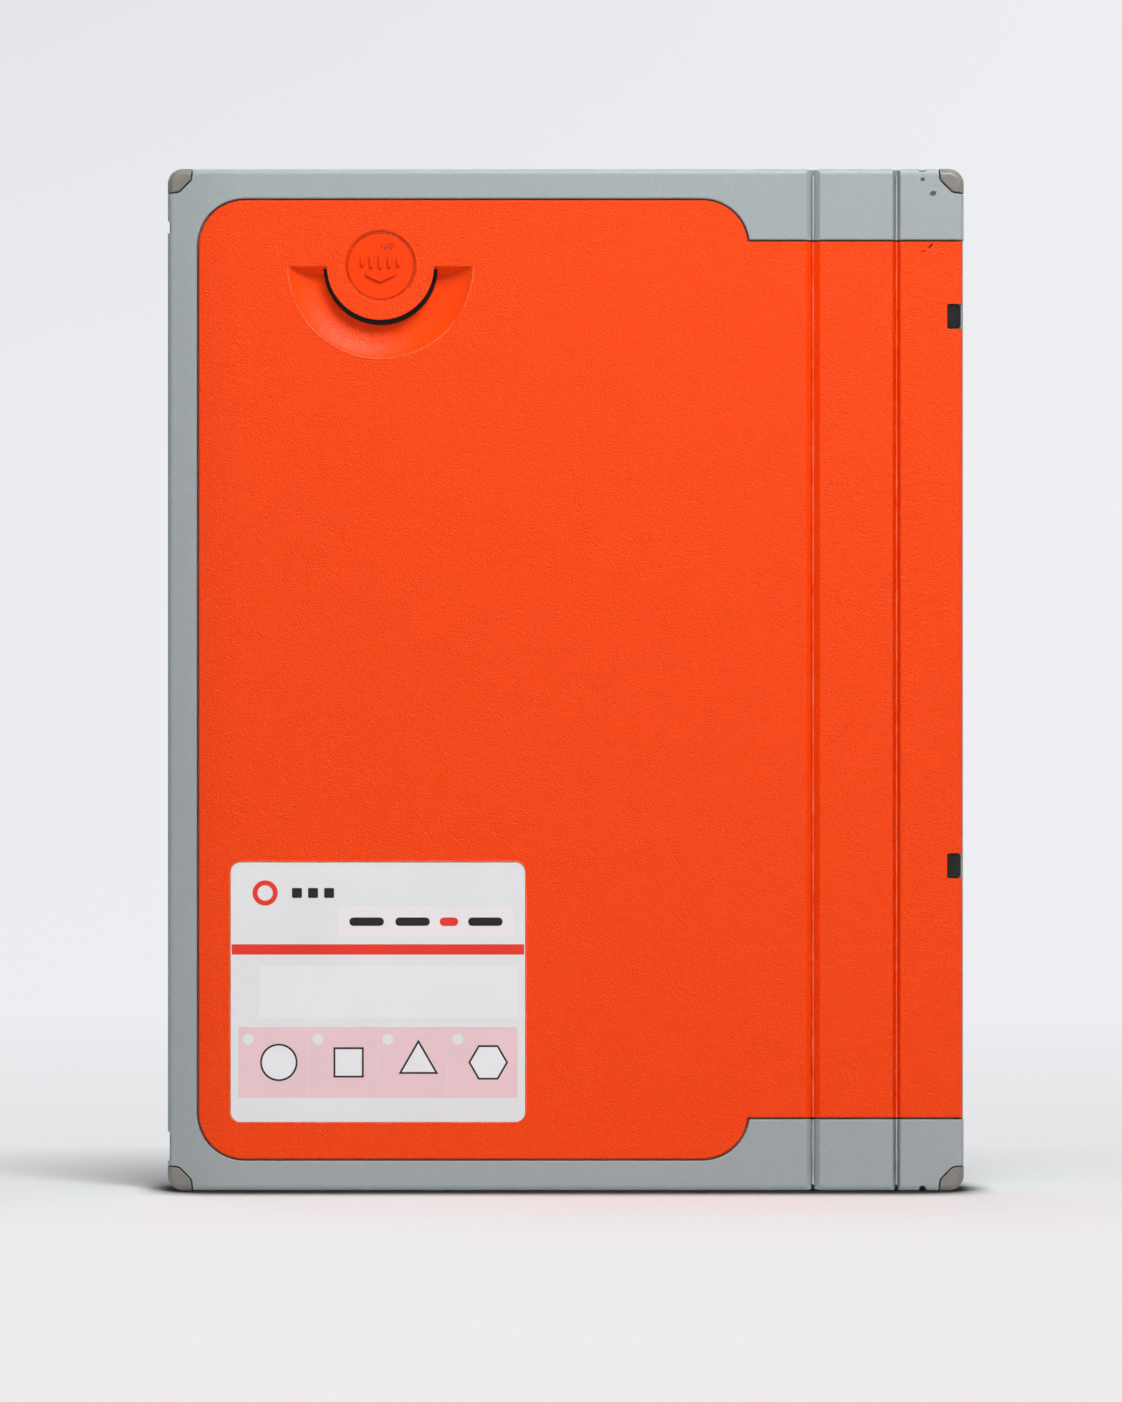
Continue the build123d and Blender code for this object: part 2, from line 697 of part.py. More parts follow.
ramp_low_z = wedge_low_z + wedge_root - slider_front - wedge_clearance
ramp_high_z = ramp_low_z + slider_thickness
with BuildPart() as latch_slider:
    with BuildSketch(Plane.XZ.offset(slider_back)):
        with BuildLine():
            Polyline(
                (slider_left_x, slider_end_gap),
                (slider_right_x, slider_end_gap),
                (slider_right_x, arm_low_z),
                (grip_x - hand_half_width, arm_low_z),
                (grip_x - hand_half_width, hand_low_z),
                (grip_x + hand_half_width, hand_low_z),
                (grip_x + hand_half_width, hand_high_z),
                (slider_left_x, hand_high_z),
                close=True,
            )
        make_face()
        with Locations((grip_x, (ramp_low_z + hand_window_top) / 2)):
            Rectangle(wedge_width + 2 * slot_play, hand_window_top - ramp_low_z, mode=Mode.SUBTRACT)
        with Locations(*[(x, z + button_travel / 2) for x, z in guide_places]):
            SlotOverall(
                2 * (guide_radius + guide_play) + button_travel,
                2 * (guide_radius + guide_play),
                rotation=90,
                mode=Mode.SUBTRACT,
            )
    extrude(amount=slider_thickness)
    # ramp that the button's wedge pushes, in the lower edge of the hand's window
    with BuildSketch(Plane.YZ.offset(grip_x - wedge_width / 2 - slot_play)):
        Polygon(
            (-slider_front, ramp_low_z),
            (-slider_back, ramp_low_z),
            (-slider_back, ramp_high_z),
            align=None,
        )
    extrude(amount=wedge_width + 2 * slot_play)
    # hooks: a stem beside the lining, and a nose that points at the tray wall
    with BuildSketch(Plane.XZ.offset(nose_back)):
        for hook_z in hook_centers:
            with Locations(((stem_left_x + stem_right_x) / 2, hook_z)):
                Rectangle(hook_stem, hook_length)
    extrude(amount=slider_back - nose_back)
    for hook_z in hook_centers:
        with BuildSketch(Plane.YZ.offset(nose_left_x)):
            Polygon(
                (-nose_front, hook_z - hook_length / 2),
                (-nose_front, hook_z + hook_length / 2),
                (-nose_back - hook_bevel, hook_z + hook_length / 2),
                (-nose_back, hook_z + hook_length / 2 - hook_bevel),
                (-nose_back, hook_z - hook_length / 2),
                align=None,
            )
        extrude(amount=hook_nose)
    with BuildSketch(Plane.XY.offset(arm_low_z - spring_spigot_length)):
        with Locations((spring_x, -spring_level)):
            Circle(spring_spigot_radius)
    extrude(amount=spring_spigot_length)
finish(latch_slider.part, "latch_slider")

with BuildPart() as latch_spring:
    with BuildLine():
        coil = Helix(
            pitch=(spring_length - 2 * spring_wire) / spring_turns,
            height=spring_length - 2 * spring_wire,
            radius=spring_radius,
            center=(spring_x, -spring_level, spring_seat_z + spring_wire),
        )
    with BuildSketch(Plane(origin=coil @ 0, z_dir=coil % 0)):
        RegularPolygon(spring_wire, spring_wire_sides)
    sweep()
finish(latch_spring.part, "latch_spring")

# ---- spine -------------------------------------------------------------------------------------
spine_center_x = (lid_hinge_x + spine_hinge_x) / 2
with BuildPart() as spine_frame:
    add(cover_blank.part)
    keep_between(spine_start_x, spine_end_x)
    with BuildSketch(Plane.XZ.offset(ledge_back)):
        with Locations((spine_center_x, mid_height)):
            Rectangle(spine_width - 2 * rail_setback, rail_height)
    extrude(amount=ledge_thickness)
finish(spine_frame.part, "spine_frame")

with BuildPart() as spine_panel:
    with BuildSketch(Plane.XZ.offset(skin_back)):
        with Locations((spine_center_x, mid_height)):
            Rectangle(spine_width - film_width, band_height)
    extrude(amount=skin)
    chamfer(spine_panel.faces().sort_by(Axis.Y)[0].edges().filter_by(Axis.X), panel_edge_bevel)
    extrude(hinge_grooves.sketch, amount=height, mode=Mode.SUBTRACT)
    fillet(spine_panel.edges(Select.LAST).filter_by(Axis.Z).group_by(Axis.Y)[0], groove_shoulder)
finish(spine_panel.part, "spine_panel")

# ---- anchor strip ------------------------------------------------------------------------------
anchor_rail_left_x = spine_hinge_x + rail_setback
anchor_rail_right_x = half_width - tray_wall - running_gap
band_right_x = half_width - band_inset
anchor_screw_places = [(anchor_screw_x, screw_z) for screw_z in anchor_screw_zs]


def draw_clips(grow=0.0, mode=Mode.ADD):
    """Footprints of the two edge clips."""
    for clip_z in clip_centers.values():
        with Locations((clip_center_x, clip_z)):
            Rectangle(clip_width + 2 * grow, clip_length + 2 * grow, mode=mode)


with BuildPart() as anchor_frame:
    add(cover_blank.part)
    keep_between(anchor_start_x, width)
    with BuildSketch(Plane.XZ.offset(anchor_rail_back)):
        with Locations(((anchor_rail_left_x + anchor_rail_right_x) / 2, mid_height)):
            Rectangle(anchor_rail_right_x - anchor_rail_left_x, rail_height)
        draw_clips(clip_play, Mode.SUBTRACT)
        draw_corners(bumper_gap, Mode.SUBTRACT)
    extrude(amount=anchor_rail_thickness)
    with Locations(*[Plane.XZ.offset(skin_back) * Location((x, z)) for x, z in anchor_screw_places]):
        CounterBoreHole(
            screw_radius + screw_clearance,
            pan_head_radius + screw_clearance,
            pan_head_height + pan_head_play,
            anchor_rail_thickness,
        )
finish(anchor_frame.part, "anchor_frame")

with BuildPart() as anchor_panel:
    with BuildSketch(Plane.XZ.offset(skirt_end)):
        with Locations(((anchor_start_x + band_right_x) / 2, mid_height)):
            Rectangle(band_right_x - anchor_start_x, band_height)
    extrude(amount=skirt_depth)
    chamfer(anchor_panel.faces().sort_by(Axis.Y)[0].edges().filter_by(Axis.X), panel_edge_bevel)
    outer_edge = anchor_panel.edges().filter_by(Axis.Z).group_by(Axis.X)[-1].sort_by(Axis.Y)[0]
    fillet(outer_edge, band_edge_round)
    with BuildSketch(Plane.XZ.offset(skirt_end)):
        with Locations((half_width - skirt_wall - anchor_width / 2, mid_height)):
            Rectangle(anchor_width, band_height)
    extrude(amount=skin_back - skirt_end, mode=Mode.SUBTRACT)
    with BuildSketch(Plane.XZ.offset(skirt_end)):
        for clip_z in clip_centers.values():
            with Locations((clip_center_x + clip_width / 2, clip_z)):
                RectangleRounded(2 * (clip_width + clip_play), clip_length + 2 * clip_play, clip_notch_round)
    extrude(amount=skirt_depth, mode=Mode.SUBTRACT)
    extrude(hinge_grooves.sketch, amount=height, mode=Mode.SUBTRACT)
    fillet(anchor_panel.edges(Select.LAST).filter_by(Axis.Z).group_by(Axis.Y)[0], groove_shoulder)
finish(anchor_panel.part, "anchor_panel")

with BuildPart() as anchor_screws:
    with Locations(*[Plane.XZ.offset(skin_back) * Location((x, z)) for x, z in anchor_screw_places]):
        with Locations((0, 0, -pan_head_play)):
            Cylinder(pan_head_radius, pan_head_height, align=(Align.CENTER, Align.CENTER, Align.MAX))
            Cylinder(screw_radius, pan_screw_length, align=(Align.CENTER, Align.CENTER, Align.MAX))
finish(anchor_screws.part, "anchor_screws")

clip_foot_x = half_width - tray_wall / 2
for clip_name, clip_z in clip_centers.items():
    with BuildPart() as edge_clip:
        with BuildSketch(Plane.XY.offset(clip_z - clip_length / 2)):
            Polygon(
                (clip_right_x - clip_width, -wall_top),
                (clip_right_x - clip_width, clip_recess - lid_face),
                (clip_right_x - clip_slope_width, clip_recess - lid_face),
                (clip_right_x, clip_recess + clip_slope_drop - lid_face),
                (clip_right_x, -wall_top),
                align=None,
            )
        extrude(amount=clip_length)
        fillet(edge_clip.edges().filter_by(Axis.Y).group_by(Axis.X)[-1], clip_edge_round)
        with BuildSketch(Plane.XZ.offset(wall_top - clip_foot_depth)):
            with Locations((clip_foot_x, clip_z)):
                Rectangle(clip_foot_width, clip_foot_length)
        extrude(amount=clip_foot_depth)
    finish(edge_clip.part, clip_name)

# ---- hinge films: grey in the frame, coloured in the panel --------------------------------------
film_inset = skirt_wall
frame_film_length = step_border - panel_gap - film_inset
for place, hinge_x in (("inner", lid_hinge_x), ("outer", spine_hinge_x)):
    with BuildPart() as frame_film:
        with BuildSketch(Plane.XZ.offset(film_back)):
            for film_z in (film_inset + frame_film_length / 2, height - film_inset - frame_film_length / 2):
                with Locations((hinge_x, film_z)):
                    Rectangle(film_width, frame_film_length)
        extrude(amount=film_thickness)
    finish(frame_film.part, f"frame_hinge_{place}")
    with BuildPart() as panel_film:
        with BuildSketch(Plane.XZ.offset(film_back)):
            with Locations((hinge_x, mid_height)):
                Rectangle(film_width, band_height)
        extrude(amount=film_thickness)
    finish(panel_film.part, f"panel_hinge_{place}")


# ---- tray and what it holds --------------------------------------------------------------------
def draw_plate(grow=0.0):
    """Outline of the imaging plate, grown by grow."""
    with Locations((plate_center_x, mid_height)):
        RectangleRounded(plate_width + 2 * grow, plate_height + 2 * grow, plate_corner + grow)


with BuildPart() as base_tray:
    with BuildSketch(Plane.XZ.offset(tube_face)):
        draw_case()
    extrude(amount=wall_top - tube_face)
    fillet(base_tray.faces().sort_by(Axis.Y)[-1].edges(), tray_edge_round)
    with BuildSketch(Plane.XZ.offset(floor_top)):
        draw_case(tray_wall)
    extrude(amount=wall_top - floor_top, mode=Mode.SUBTRACT)
    with BuildSketch(Plane.XZ.offset(wall_top)):
        draw_case(tray_wall - lip_wall)
        draw_case(tray_wall, Mode.SUBTRACT)
        draw_corners(mode=Mode.SUBTRACT)
        draw_clips(clip_play, Mode.SUBTRACT)
    extrude(amount=lip_height)
    with BuildSketch(Plane.XZ.offset(floor_top)):
        draw_corners(bumper_block)
        draw_case(bumper_wall, Mode.INTERSECT)
    extrude(amount=wall_top - floor_top)
    with BuildSketch(Plane.XZ.offset(tube_face)):
        draw_corners()
        draw_case(bumper_wall, Mode.SUBTRACT)
    extrude(amount=wall_top - tube_face, mode=Mode.SUBTRACT)
    with BuildSketch(Plane.XZ.offset(tube_panel_top)):
        draw_plate(plate_clearance)
    extrude(amount=floor_top - tube_panel_top, mode=Mode.SUBTRACT)
    with BuildSketch(Plane.XZ.offset(tube_face)):
        draw_plate(plate_clearance + tube_panel_lap)
    extrude(amount=tube_panel_thickness, mode=Mode.SUBTRACT)
    with BuildSketch(Plane.XZ.offset(floor_top)):
        with Locations(*anchor_screw_places):
            Circle(anchor_boss_radius)
    extrude(amount=anchor_rail_back - floor_top)
    with BuildSketch(Plane.XZ.offset(floor_top)):
        with Locations(*anchor_screw_places):
            Circle(screw_radius + screw_fit)
    extrude(amount=anchor_rail_back - floor_top, mode=Mode.SUBTRACT)
    with BuildSketch(Plane.XZ.offset(wall_top - clip_foot_depth)):
        for clip_z in clip_centers.values():
            with Locations((clip_foot_x, clip_z)):
                Rectangle(clip_foot_width, clip_foot_length)
    extrude(amount=clip_foot_depth, mode=Mode.SUBTRACT)
    with BuildSketch(Plane.XZ.offset(wall_top - pin_slot_reach)):
        for slot_z, slot_length in pin_slots:
            with Locations((-half_width, slot_z)):
                Rectangle(2 * pin_slot_depth, slot_length)
    extrude(amount=pin_slot_reach, mode=Mode.SUBTRACT)
finish(base_tray.part, "base_tray")

with BuildPart() as tube_side_panel:
    with BuildSketch(Plane.XZ.offset(tube_face)):
        draw_plate(plate_clearance + tube_panel_lap)
    extrude(amount=tube_panel_thickness)
finish(tube_side_panel.part, "tube_side_panel")

with BuildPart() as tray_liner:
    with BuildSketch(Plane.XZ.offset(tube_panel_top)):
        draw_plate()
    extrude(amount=liner_thickness)
finish(tray_liner.part, "tray_liner")

with BuildPart() as phosphor_layer:
    with BuildSketch(Plane.XZ.offset(liner_top)):
        draw_plate(-phosphor_inset)
    extrude(amount=phosphor_thickness)
finish(phosphor_layer.part, "phosphor_layer")

with BuildPart() as plate_support:
    with BuildSketch(Plane.XZ.offset(phosphor_top)):
        draw_plate()
    extrude(amount=support_thickness)
finish(plate_support.part, "plate_support")

shelf_shift = hook_length - hook_grip
with BuildPart() as latch_strikes:
    with BuildSketch(Plane.XZ.offset(strike_low)):
        for hook_z in hook_centers:
            with Locations((tray_inner_x + strike_wall / 2, hook_z + shelf_shift)):
                Rectangle(strike_wall, strike_length)
    extrude(amount=strike_height)
    with BuildSketch(Plane.XZ.offset(shelf_low)):
        for hook_z in hook_centers:
            with Locations(((tray_inner_x + shelf_end_x) / 2, hook_z + shelf_shift)):
                Rectangle(shelf_end_x - tray_inner_x, hook_length)
    extrude(amount=strike_shelf_height)
finish(latch_strikes.part, "latch_strikes")

tag_x = (plate_center_x + plate_width / 2 + plate_clearance + half_width - tray_wall) / 2
with BuildPart() as rf_tag:
    with BuildSketch(Plane.XZ.offset(floor_top)):
        with Locations((tag_x, tag_from_bottom)):
            Circle(tag_radius)
    extrude(amount=tag_thickness)
finish(rf_tag.part, "rf_tag")

# ---- corner bumpers: a cap on the cover side and a thin wall round the tray's corner -------------
with BuildPart() as bumper_ring:
    with BuildSketch(Plane.XZ.offset(tube_face)):
        draw_case()
    extrude(amount=thickness)
    chamfer(bumper_ring.faces().sort_by(Axis.Y)[0].edges(), bumper_rim_bevel)
    fillet(bumper_ring.faces().sort_by(Axis.Y)[-1].edges(), tray_edge_round)
    with BuildSketch(Plane.XZ.offset(tube_face)):
        draw_case(bumper_wall)
    extrude(amount=wall_top - tube_face, mode=Mode.SUBTRACT)
    with BuildSketch(Plane.XZ.offset(tube_face)):
        draw_case()
        draw_corners(mode=Mode.SUBTRACT)
    extrude(amount=thickness, mode=Mode.SUBTRACT)
    chamfer(bumper_ring.edges(Select.LAST).group_by(Axis.Y)[0], bumper_edge_bevel)

for bumper_name, (side, end) in corner_signs.items():
    with BuildPart() as corner_bumper:
        add(bumper_ring.part)
        split(bisect_by=Plane.YZ, keep=Keep.TOP if side > 0 else Keep.BOTTOM)
        split(bisect_by=Plane.XY.offset(mid_height), keep=Keep.TOP if end > 0 else Keep.BOTTOM)
    finish(corner_bumper.part, bumper_name)
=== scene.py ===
"""Looks of the imaging-plate cassette: materials, soft parts, prints and small details over the CAD model.

Everything is in metres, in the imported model's frame: X runs from the latch edge to the hinge edge, Z is up,
and the lid faces -Y, so what stands out from the lid's face has a smaller Y.
"""

import json
from math import cos, pi, radians, sin

import bmesh
import bpy
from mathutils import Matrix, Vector


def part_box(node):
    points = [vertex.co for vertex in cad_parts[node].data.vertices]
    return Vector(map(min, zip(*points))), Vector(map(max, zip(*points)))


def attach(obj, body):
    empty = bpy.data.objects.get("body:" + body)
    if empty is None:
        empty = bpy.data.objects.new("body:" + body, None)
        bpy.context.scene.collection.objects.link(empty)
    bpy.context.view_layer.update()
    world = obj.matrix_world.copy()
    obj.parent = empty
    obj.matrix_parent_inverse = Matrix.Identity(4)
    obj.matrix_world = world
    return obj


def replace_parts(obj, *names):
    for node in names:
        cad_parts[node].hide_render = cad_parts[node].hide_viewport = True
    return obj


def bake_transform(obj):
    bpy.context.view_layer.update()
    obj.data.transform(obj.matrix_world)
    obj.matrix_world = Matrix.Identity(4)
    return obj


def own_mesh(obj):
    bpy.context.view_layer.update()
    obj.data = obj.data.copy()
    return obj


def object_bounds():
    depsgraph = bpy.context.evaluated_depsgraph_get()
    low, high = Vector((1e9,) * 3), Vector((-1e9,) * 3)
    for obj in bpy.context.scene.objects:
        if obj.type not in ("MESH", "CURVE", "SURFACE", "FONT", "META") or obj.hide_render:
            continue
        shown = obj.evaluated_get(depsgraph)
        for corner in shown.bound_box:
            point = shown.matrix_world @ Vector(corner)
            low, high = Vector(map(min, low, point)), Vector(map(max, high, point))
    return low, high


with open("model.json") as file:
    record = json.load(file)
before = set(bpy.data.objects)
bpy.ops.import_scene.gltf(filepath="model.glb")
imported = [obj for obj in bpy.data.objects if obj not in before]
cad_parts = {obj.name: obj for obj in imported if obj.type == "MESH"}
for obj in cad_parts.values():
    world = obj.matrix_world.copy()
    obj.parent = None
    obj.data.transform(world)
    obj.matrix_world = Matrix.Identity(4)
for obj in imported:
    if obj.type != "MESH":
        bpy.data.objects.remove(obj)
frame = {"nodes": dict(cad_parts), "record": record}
cad_low, cad_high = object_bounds()
middle = (cad_low + cad_high) / 2

MM = 0.001

# ---- the photograph's frame ----------------------------------------------------------------------
image_width = 1122
image_height = 1402
body_left_px = 167.5
body_right_px = 964.0
body_bottom_px = 1190.9
metres_per_px = (cad_high.x - cad_low.x) / (body_right_px - body_left_px)
camera_distance = 1.6
sensor_size = 36.0

# ---- colours, linear -----------------------------------------------------------------------------
orange = (0.92, 0.0615, 0.0024)
orange_dark = (0.90, 0.051, 0.0020)
# paler orange of the hinge webs and beads: a painted highlight
orange_highlight_tint = (0.93, 0.150, 0.050)
orange_scuffed = (0.82, 0.12, 0.04)
orange_smooth = (0.88, 0.050, 0.0022)
button_scuff = (0.20, 0.03, 0.02)
grey = (0.337, 0.369, 0.377)
# paler grey of the hinge webs: a painted highlight
grey_highlight_tint = (0.46, 0.49, 0.50)
grey_scuffed = (0.46, 0.48, 0.48)
grey_dark = (0.300, 0.330, 0.337)
pewter = (0.235, 0.222, 0.205)
pewter_dark = (0.190, 0.180, 0.166)
black = (0.006, 0.006, 0.0065)
black_worn = (0.012, 0.012, 0.013)
# lighter pile tips: a painted highlight
pile_tip_highlight = (0.030, 0.030, 0.033)
foam_pore_shade = (0.012, 0.012, 0.013)
foam_skin = (0.055, 0.055, 0.06)
thread_dark = (0.020, 0.021, 0.023)
thread_sheen = (0.032, 0.033, 0.036)
thread_cloud = (0.016, 0.017, 0.018)
acetal = (0.70, 0.70, 0.67)
acetal_shade = (0.64, 0.64, 0.61)
zinc = (0.58, 0.58, 0.60)
zinc_dark = (0.46, 0.46, 0.47)
spring_wire = (0.50, 0.50, 0.51)
spring_wire_dark = (0.36, 0.36, 0.37)
aluminium = (0.70, 0.71, 0.72)
aluminium_dark = (0.58, 0.59, 0.60)
lead = (0.26, 0.27, 0.29)
lead_dark = (0.18, 0.19, 0.20)
anodised = (0.60, 0.61, 0.63)
anodised_dark = (0.575, 0.585, 0.605)
phosphor = (0.82, 0.83, 0.87)
phosphor_shade = (0.78, 0.79, 0.83)
card = (0.742, 0.75, 0.763)
card_shade = (0.72, 0.727, 0.74)
print_red = (0.80, 0.035, 0.013)
print_pink = (0.80, 0.56, 0.60)
print_pink_pale = (0.80, 0.76, 0.79)
print_pink_pale_shade = (0.78, 0.74, 0.77)
print_grey = (0.787, 0.79, 0.803)
print_line = (0.010, 0.010, 0.011)
stage_color = (0.735, 0.755, 0.765)
# colour of the painted contact shadow under the case
contact_shadow_color = (0.012, 0.012, 0.012)
floor_front = (0.86, 0.84, 0.855)
backdrop_band = (0.78, 0.78, 0.80)
backdrop_left = (0.84, 0.845, 0.87)
backdrop_right = (0.87, 0.87, 0.90)
backdrop_top_left = (0.76, 0.765, 0.80)
backdrop_top_right = (0.86, 0.865, 0.885)


# ---- shader helpers ------------------------------------------------------------------------------
def add_node(tree, kind, inputs=None, **settings):
    """Adds a shader node, sets it up, and links or fills its inputs by name."""
    node = tree.nodes.new("ShaderNode" + kind)
    for key, value in settings.items():
        setattr(node, key, value)
    for key, value in (inputs or {}).items():
        if isinstance(value, bpy.types.NodeSocket):
            tree.links.new(value, node.inputs[key])
        else:
            node.inputs[key].default_value = value
    return node


def calc(tree, operation, *values):
    """Result of one maths step on sockets or numbers."""
    return add_node(tree, "Math", dict(enumerate(values)), operation=operation).outputs[0]


def scaled(tree, value, factor):
    """Value times factor."""
    return calc(tree, "MULTIPLY", value, factor)


def mix_colors(tree, factor, first, second):
    """Colour between first and second, each a socket or a colour."""
    factor_input, first_input, second_input, color_output = 0, 6, 7, 2
    inputs = {factor_input: factor}
    for place, color in ((first_input, first), (second_input, second)):
        inputs[place] = color if isinstance(color, bpy.types.NodeSocket) else (*color, 1.0)
    node = tree.nodes.new("ShaderNodeMix")
    node.data_type = "RGBA"
    for place, value in inputs.items():
        if isinstance(value, bpy.types.NodeSocket):
            tree.links.new(value, node.inputs[place])
        else:
            node.inputs[place].default_value = value
    return node.outputs[color_output]


def spread(tree, value, low, high, to_low, to_high):
    """Maps value evenly from one range to another and holds it at the ends."""
    inputs = {"Value": value, "From Min": low, "From Max": high, "To Min": to_low, "To Max": to_high}
    return add_node(tree, "MapRange", inputs, clamp=True).outputs["Result"]


def darker(color, share):
    """Same colour with only share of its light."""
    return tuple(channel * share for channel in color)


def object_place(tree):
    """Place on the object, in metres."""
    return add_node(tree, "TexCoord").outputs["Object"]


def axis_of(tree, place, axis):
    """One coordinate of place."""
    return add_node(tree, "SeparateXYZ", {"Vector": place}).outputs[axis]


def vector_math(tree, operation, first, second, result=0):
    """Result of one step on two vectors."""
    return add_node(tree, "VectorMath", {0: first, 1: second}, operation=operation).outputs[result]


def noise(tree, place, size, detail=3.0, roughness=0.55):
    """Noise whose features are about size metres across. Nearly all of it lies between 0.3 and 0.7."""
    inputs = {"Vector": place, "Scale": 1 / size, "Detail": detail, "Roughness": roughness}
    return add_node(tree, "TexNoise", inputs).outputs["Fac"]


def cloudiness(tree, place, size, most=1.0):
    """Soft patches about size metres across, which go from 0 to most."""
    return spread(tree, noise(tree, place, size, detail=4.0), 0.35, 0.65, 0.0, most)


def uneven_gloss(tree, shader, value, roughness, less, more):
    """Lets value, a noise, move the roughness between less below and more above its middle."""
    uneven = spread(tree, value, 0.3, 0.7, roughness - less, roughness + more)
    tree.links.new(uneven, shader.inputs["Roughness"])


def stretched(tree, place, scale, turn=(0.0, 0.0, 0.0)):
    """Place turned and scaled, for streaks: a small scale draws a pattern out along its axis."""
    node = add_node(tree, "Mapping", {"Vector": place, "Rotation": turn, "Scale": scale})
    return node.outputs["Vector"]


def new_material(name, roughness=0.5, specular=0.5, metallic=0.0):
    """Material with its shader, ready for colour, roughness and normal."""
    material = bpy.data.materials.new(name)
    material.use_nodes = True
    tree = material.node_tree
    shader = tree.nodes["Principled BSDF"]
    shader.inputs["Roughness"].default_value = roughness
    shader.inputs["Specular IOR Level"].default_value = specular
    shader.inputs["Metallic"].default_value = metallic
    return material, tree, shader


def set_color(tree, shader, color):
    """Gives the shader its base colour."""
    tree.links.new(color, shader.inputs["Base Color"])


def set_bump(tree, shader, height, edge=0.0):
    """Gives the shader a relief whose height is in metres, and rounds sharp edges off by edge."""
    bump = add_node(tree, "Bump", {"Height": height, "Distance": 1.0, "Strength": 1.0})
    if edge:
        softened = add_node(tree, "Bevel", {"Radius": edge}, samples=6)
        tree.links.new(softened.outputs["Normal"], bump.inputs["Normal"])
    tree.links.new(bump.outputs["Normal"], shader.inputs["Normal"])


def crease_shade(tree, reach, amount):
    """Painted shade: rises from 0 on open surfaces to amount in creases narrower than reach."""
    open_level, shaded_level = 0.92, 0.45
    open_share = add_node(tree, "AmbientOcclusion", {"Distance": reach}, samples=6).outputs["AO"]
    return spread(tree, open_share, open_level, shaded_level, 0.0, amount)


def inside_mark(tree, place, mark):
    """1 inside a small oval mark on the lid's face, fading to 0 at its rim and 2 mm below the face."""
    x, z, half_length, half_width, angle = mark
    deepest = 2.0 * MM
    shift = vector_math(tree, "SUBTRACT", place, (x, cad_low.y, z))
    along_axis = (cos(angle) / half_length, 0.0, sin(angle) / half_length)
    across_axis = (-sin(angle) / half_width, 0.0, cos(angle) / half_width)
    along = vector_math(tree, "DOT_PRODUCT", shift, along_axis, "Value")
    across = vector_math(tree, "DOT_PRODUCT", shift, across_axis, "Value")
    inward = vector_math(tree, "DOT_PRODUCT", shift, (0.0, 1 / deepest, 0.0), "Value")
    reach = calc(tree, "ADD", scaled(tree, along, along), scaled(tree, across, across))
    return spread(tree, calc(tree, "MAXIMUM", reach, inward), 0.35, 1.0, 1.0, 0.0)


# ---- moulded plastics ----------------------------------------------------------------------------
moulded_cloud = 45 * MM
moulded_cloud_share = 0.16
fleck_share = 0.22
wear_share = 0.5
wear_reach = 1.3 * MM
# painted shade towards the latch edge: where it starts and ends, and its share
latch_shade_from, latch_shade_to = 5 * MM, 19 * MM
latch_shade_share = 0.26
# reach and share of the painted shade in creases
crease_shade_reach = 1.2 * MM
crease_shade_share = 0.12
dish_grain_share = 0.35
face_polish = 0.08
grain_squash = (1.0, 1.0, 1.5)
grain_turn = (0.0, 0.45, 0.0)
soft_edge = 0.25 * MM
scratch_draw = (1.0, 1.0, 0.08)
scratch_turn = (0.3, 0.6, 0.2)
scuff_right, scuff_up = 1.9 * MM, 5.1 * MM
scuff_half_length, scuff_half_width, scuff_slant = 2.4 * MM, 1.1 * MM, 0.1
scuff_draw = (1.0, 1.0, 2.6)
scuff_turn = (0.0, 0.5, 0.0)


def pebble_height(tree, place, size, depth):
    """Fine leather-like pebbles: rounded cells of uneven size with creases between them."""
    wander = add_node(tree, "TexNoise", {"Vector": place, "Scale": 0.4 / size, "Detail": 2.0})
    bent = vector_math(tree, "SUBTRACT", wander.outputs["Color"], (0.5, 0.5, 0.5))
    shift = add_node(tree, "VectorMath", {0: bent, "Scale": 1.6 * size}, operation="SCALE").outputs[0]
    cell_inputs = {"Vector": vector_math(tree, "ADD", place, shift), "Scale": 1 / size, "Smoothness": 0.35}
    cells = add_node(tree, "TexVoronoi", cell_inputs, feature="SMOOTH_F1").outputs["Distance"]
    domes = scaled(tree, calc(tree, "SUBTRACT", 0.7, cells), depth)
    fine = scaled(tree, noise(tree, place, size / 3), depth * 0.5)
    return calc(tree, "ADD", domes, fine)


def near_end(tree, place, axis):
    """Rises from 0 inside the case to 1 at its two ends along an axis."""
    end, centre = getattr(cad_high, axis.lower()), getattr(middle, axis.lower())
    away = calc(tree, "ABSOLUTE", calc(tree, "SUBTRACT", axis_of(tree, place, axis), centre))
    return spread(tree, away, end - centre - wear_reach, end - centre, 0.0, 1.0)


def edge_wear(tree, place):
    """Rises from 0 inside the case to 1 along its outer edges, broken up by noise."""
    worn = calc(tree, "MAXIMUM", near_end(tree, place, "X"), near_end(tree, place, "Z"))
    patches = spread(tree, noise(tree, place, 6 * MM, detail=5.0), 0.50, 0.68, 0.0, 1.0)
    return scaled(tree, worn, patches)


def near_face(tree, place):
    """1 on the case's front and back faces, and 0 in dishes and grooves deeper than half a millimetre."""
    depth_in = calc(tree, "ABSOLUTE", axis_of(tree, place, "Y"))
    return spread(tree, depth_in, cad_high.y - 0.5 * MM, cad_high.y - 0.1 * MM, 0.0, 1.0)


def latch_edge_shade(tree, place):
    """Painted shade that rises faintly towards the latch edge, at low X."""
    across = axis_of(tree, place, "X")
    return spread(tree, across, cad_low.x + latch_shade_from, cad_low.x + latch_shade_to, latch_shade_share, 0.0)


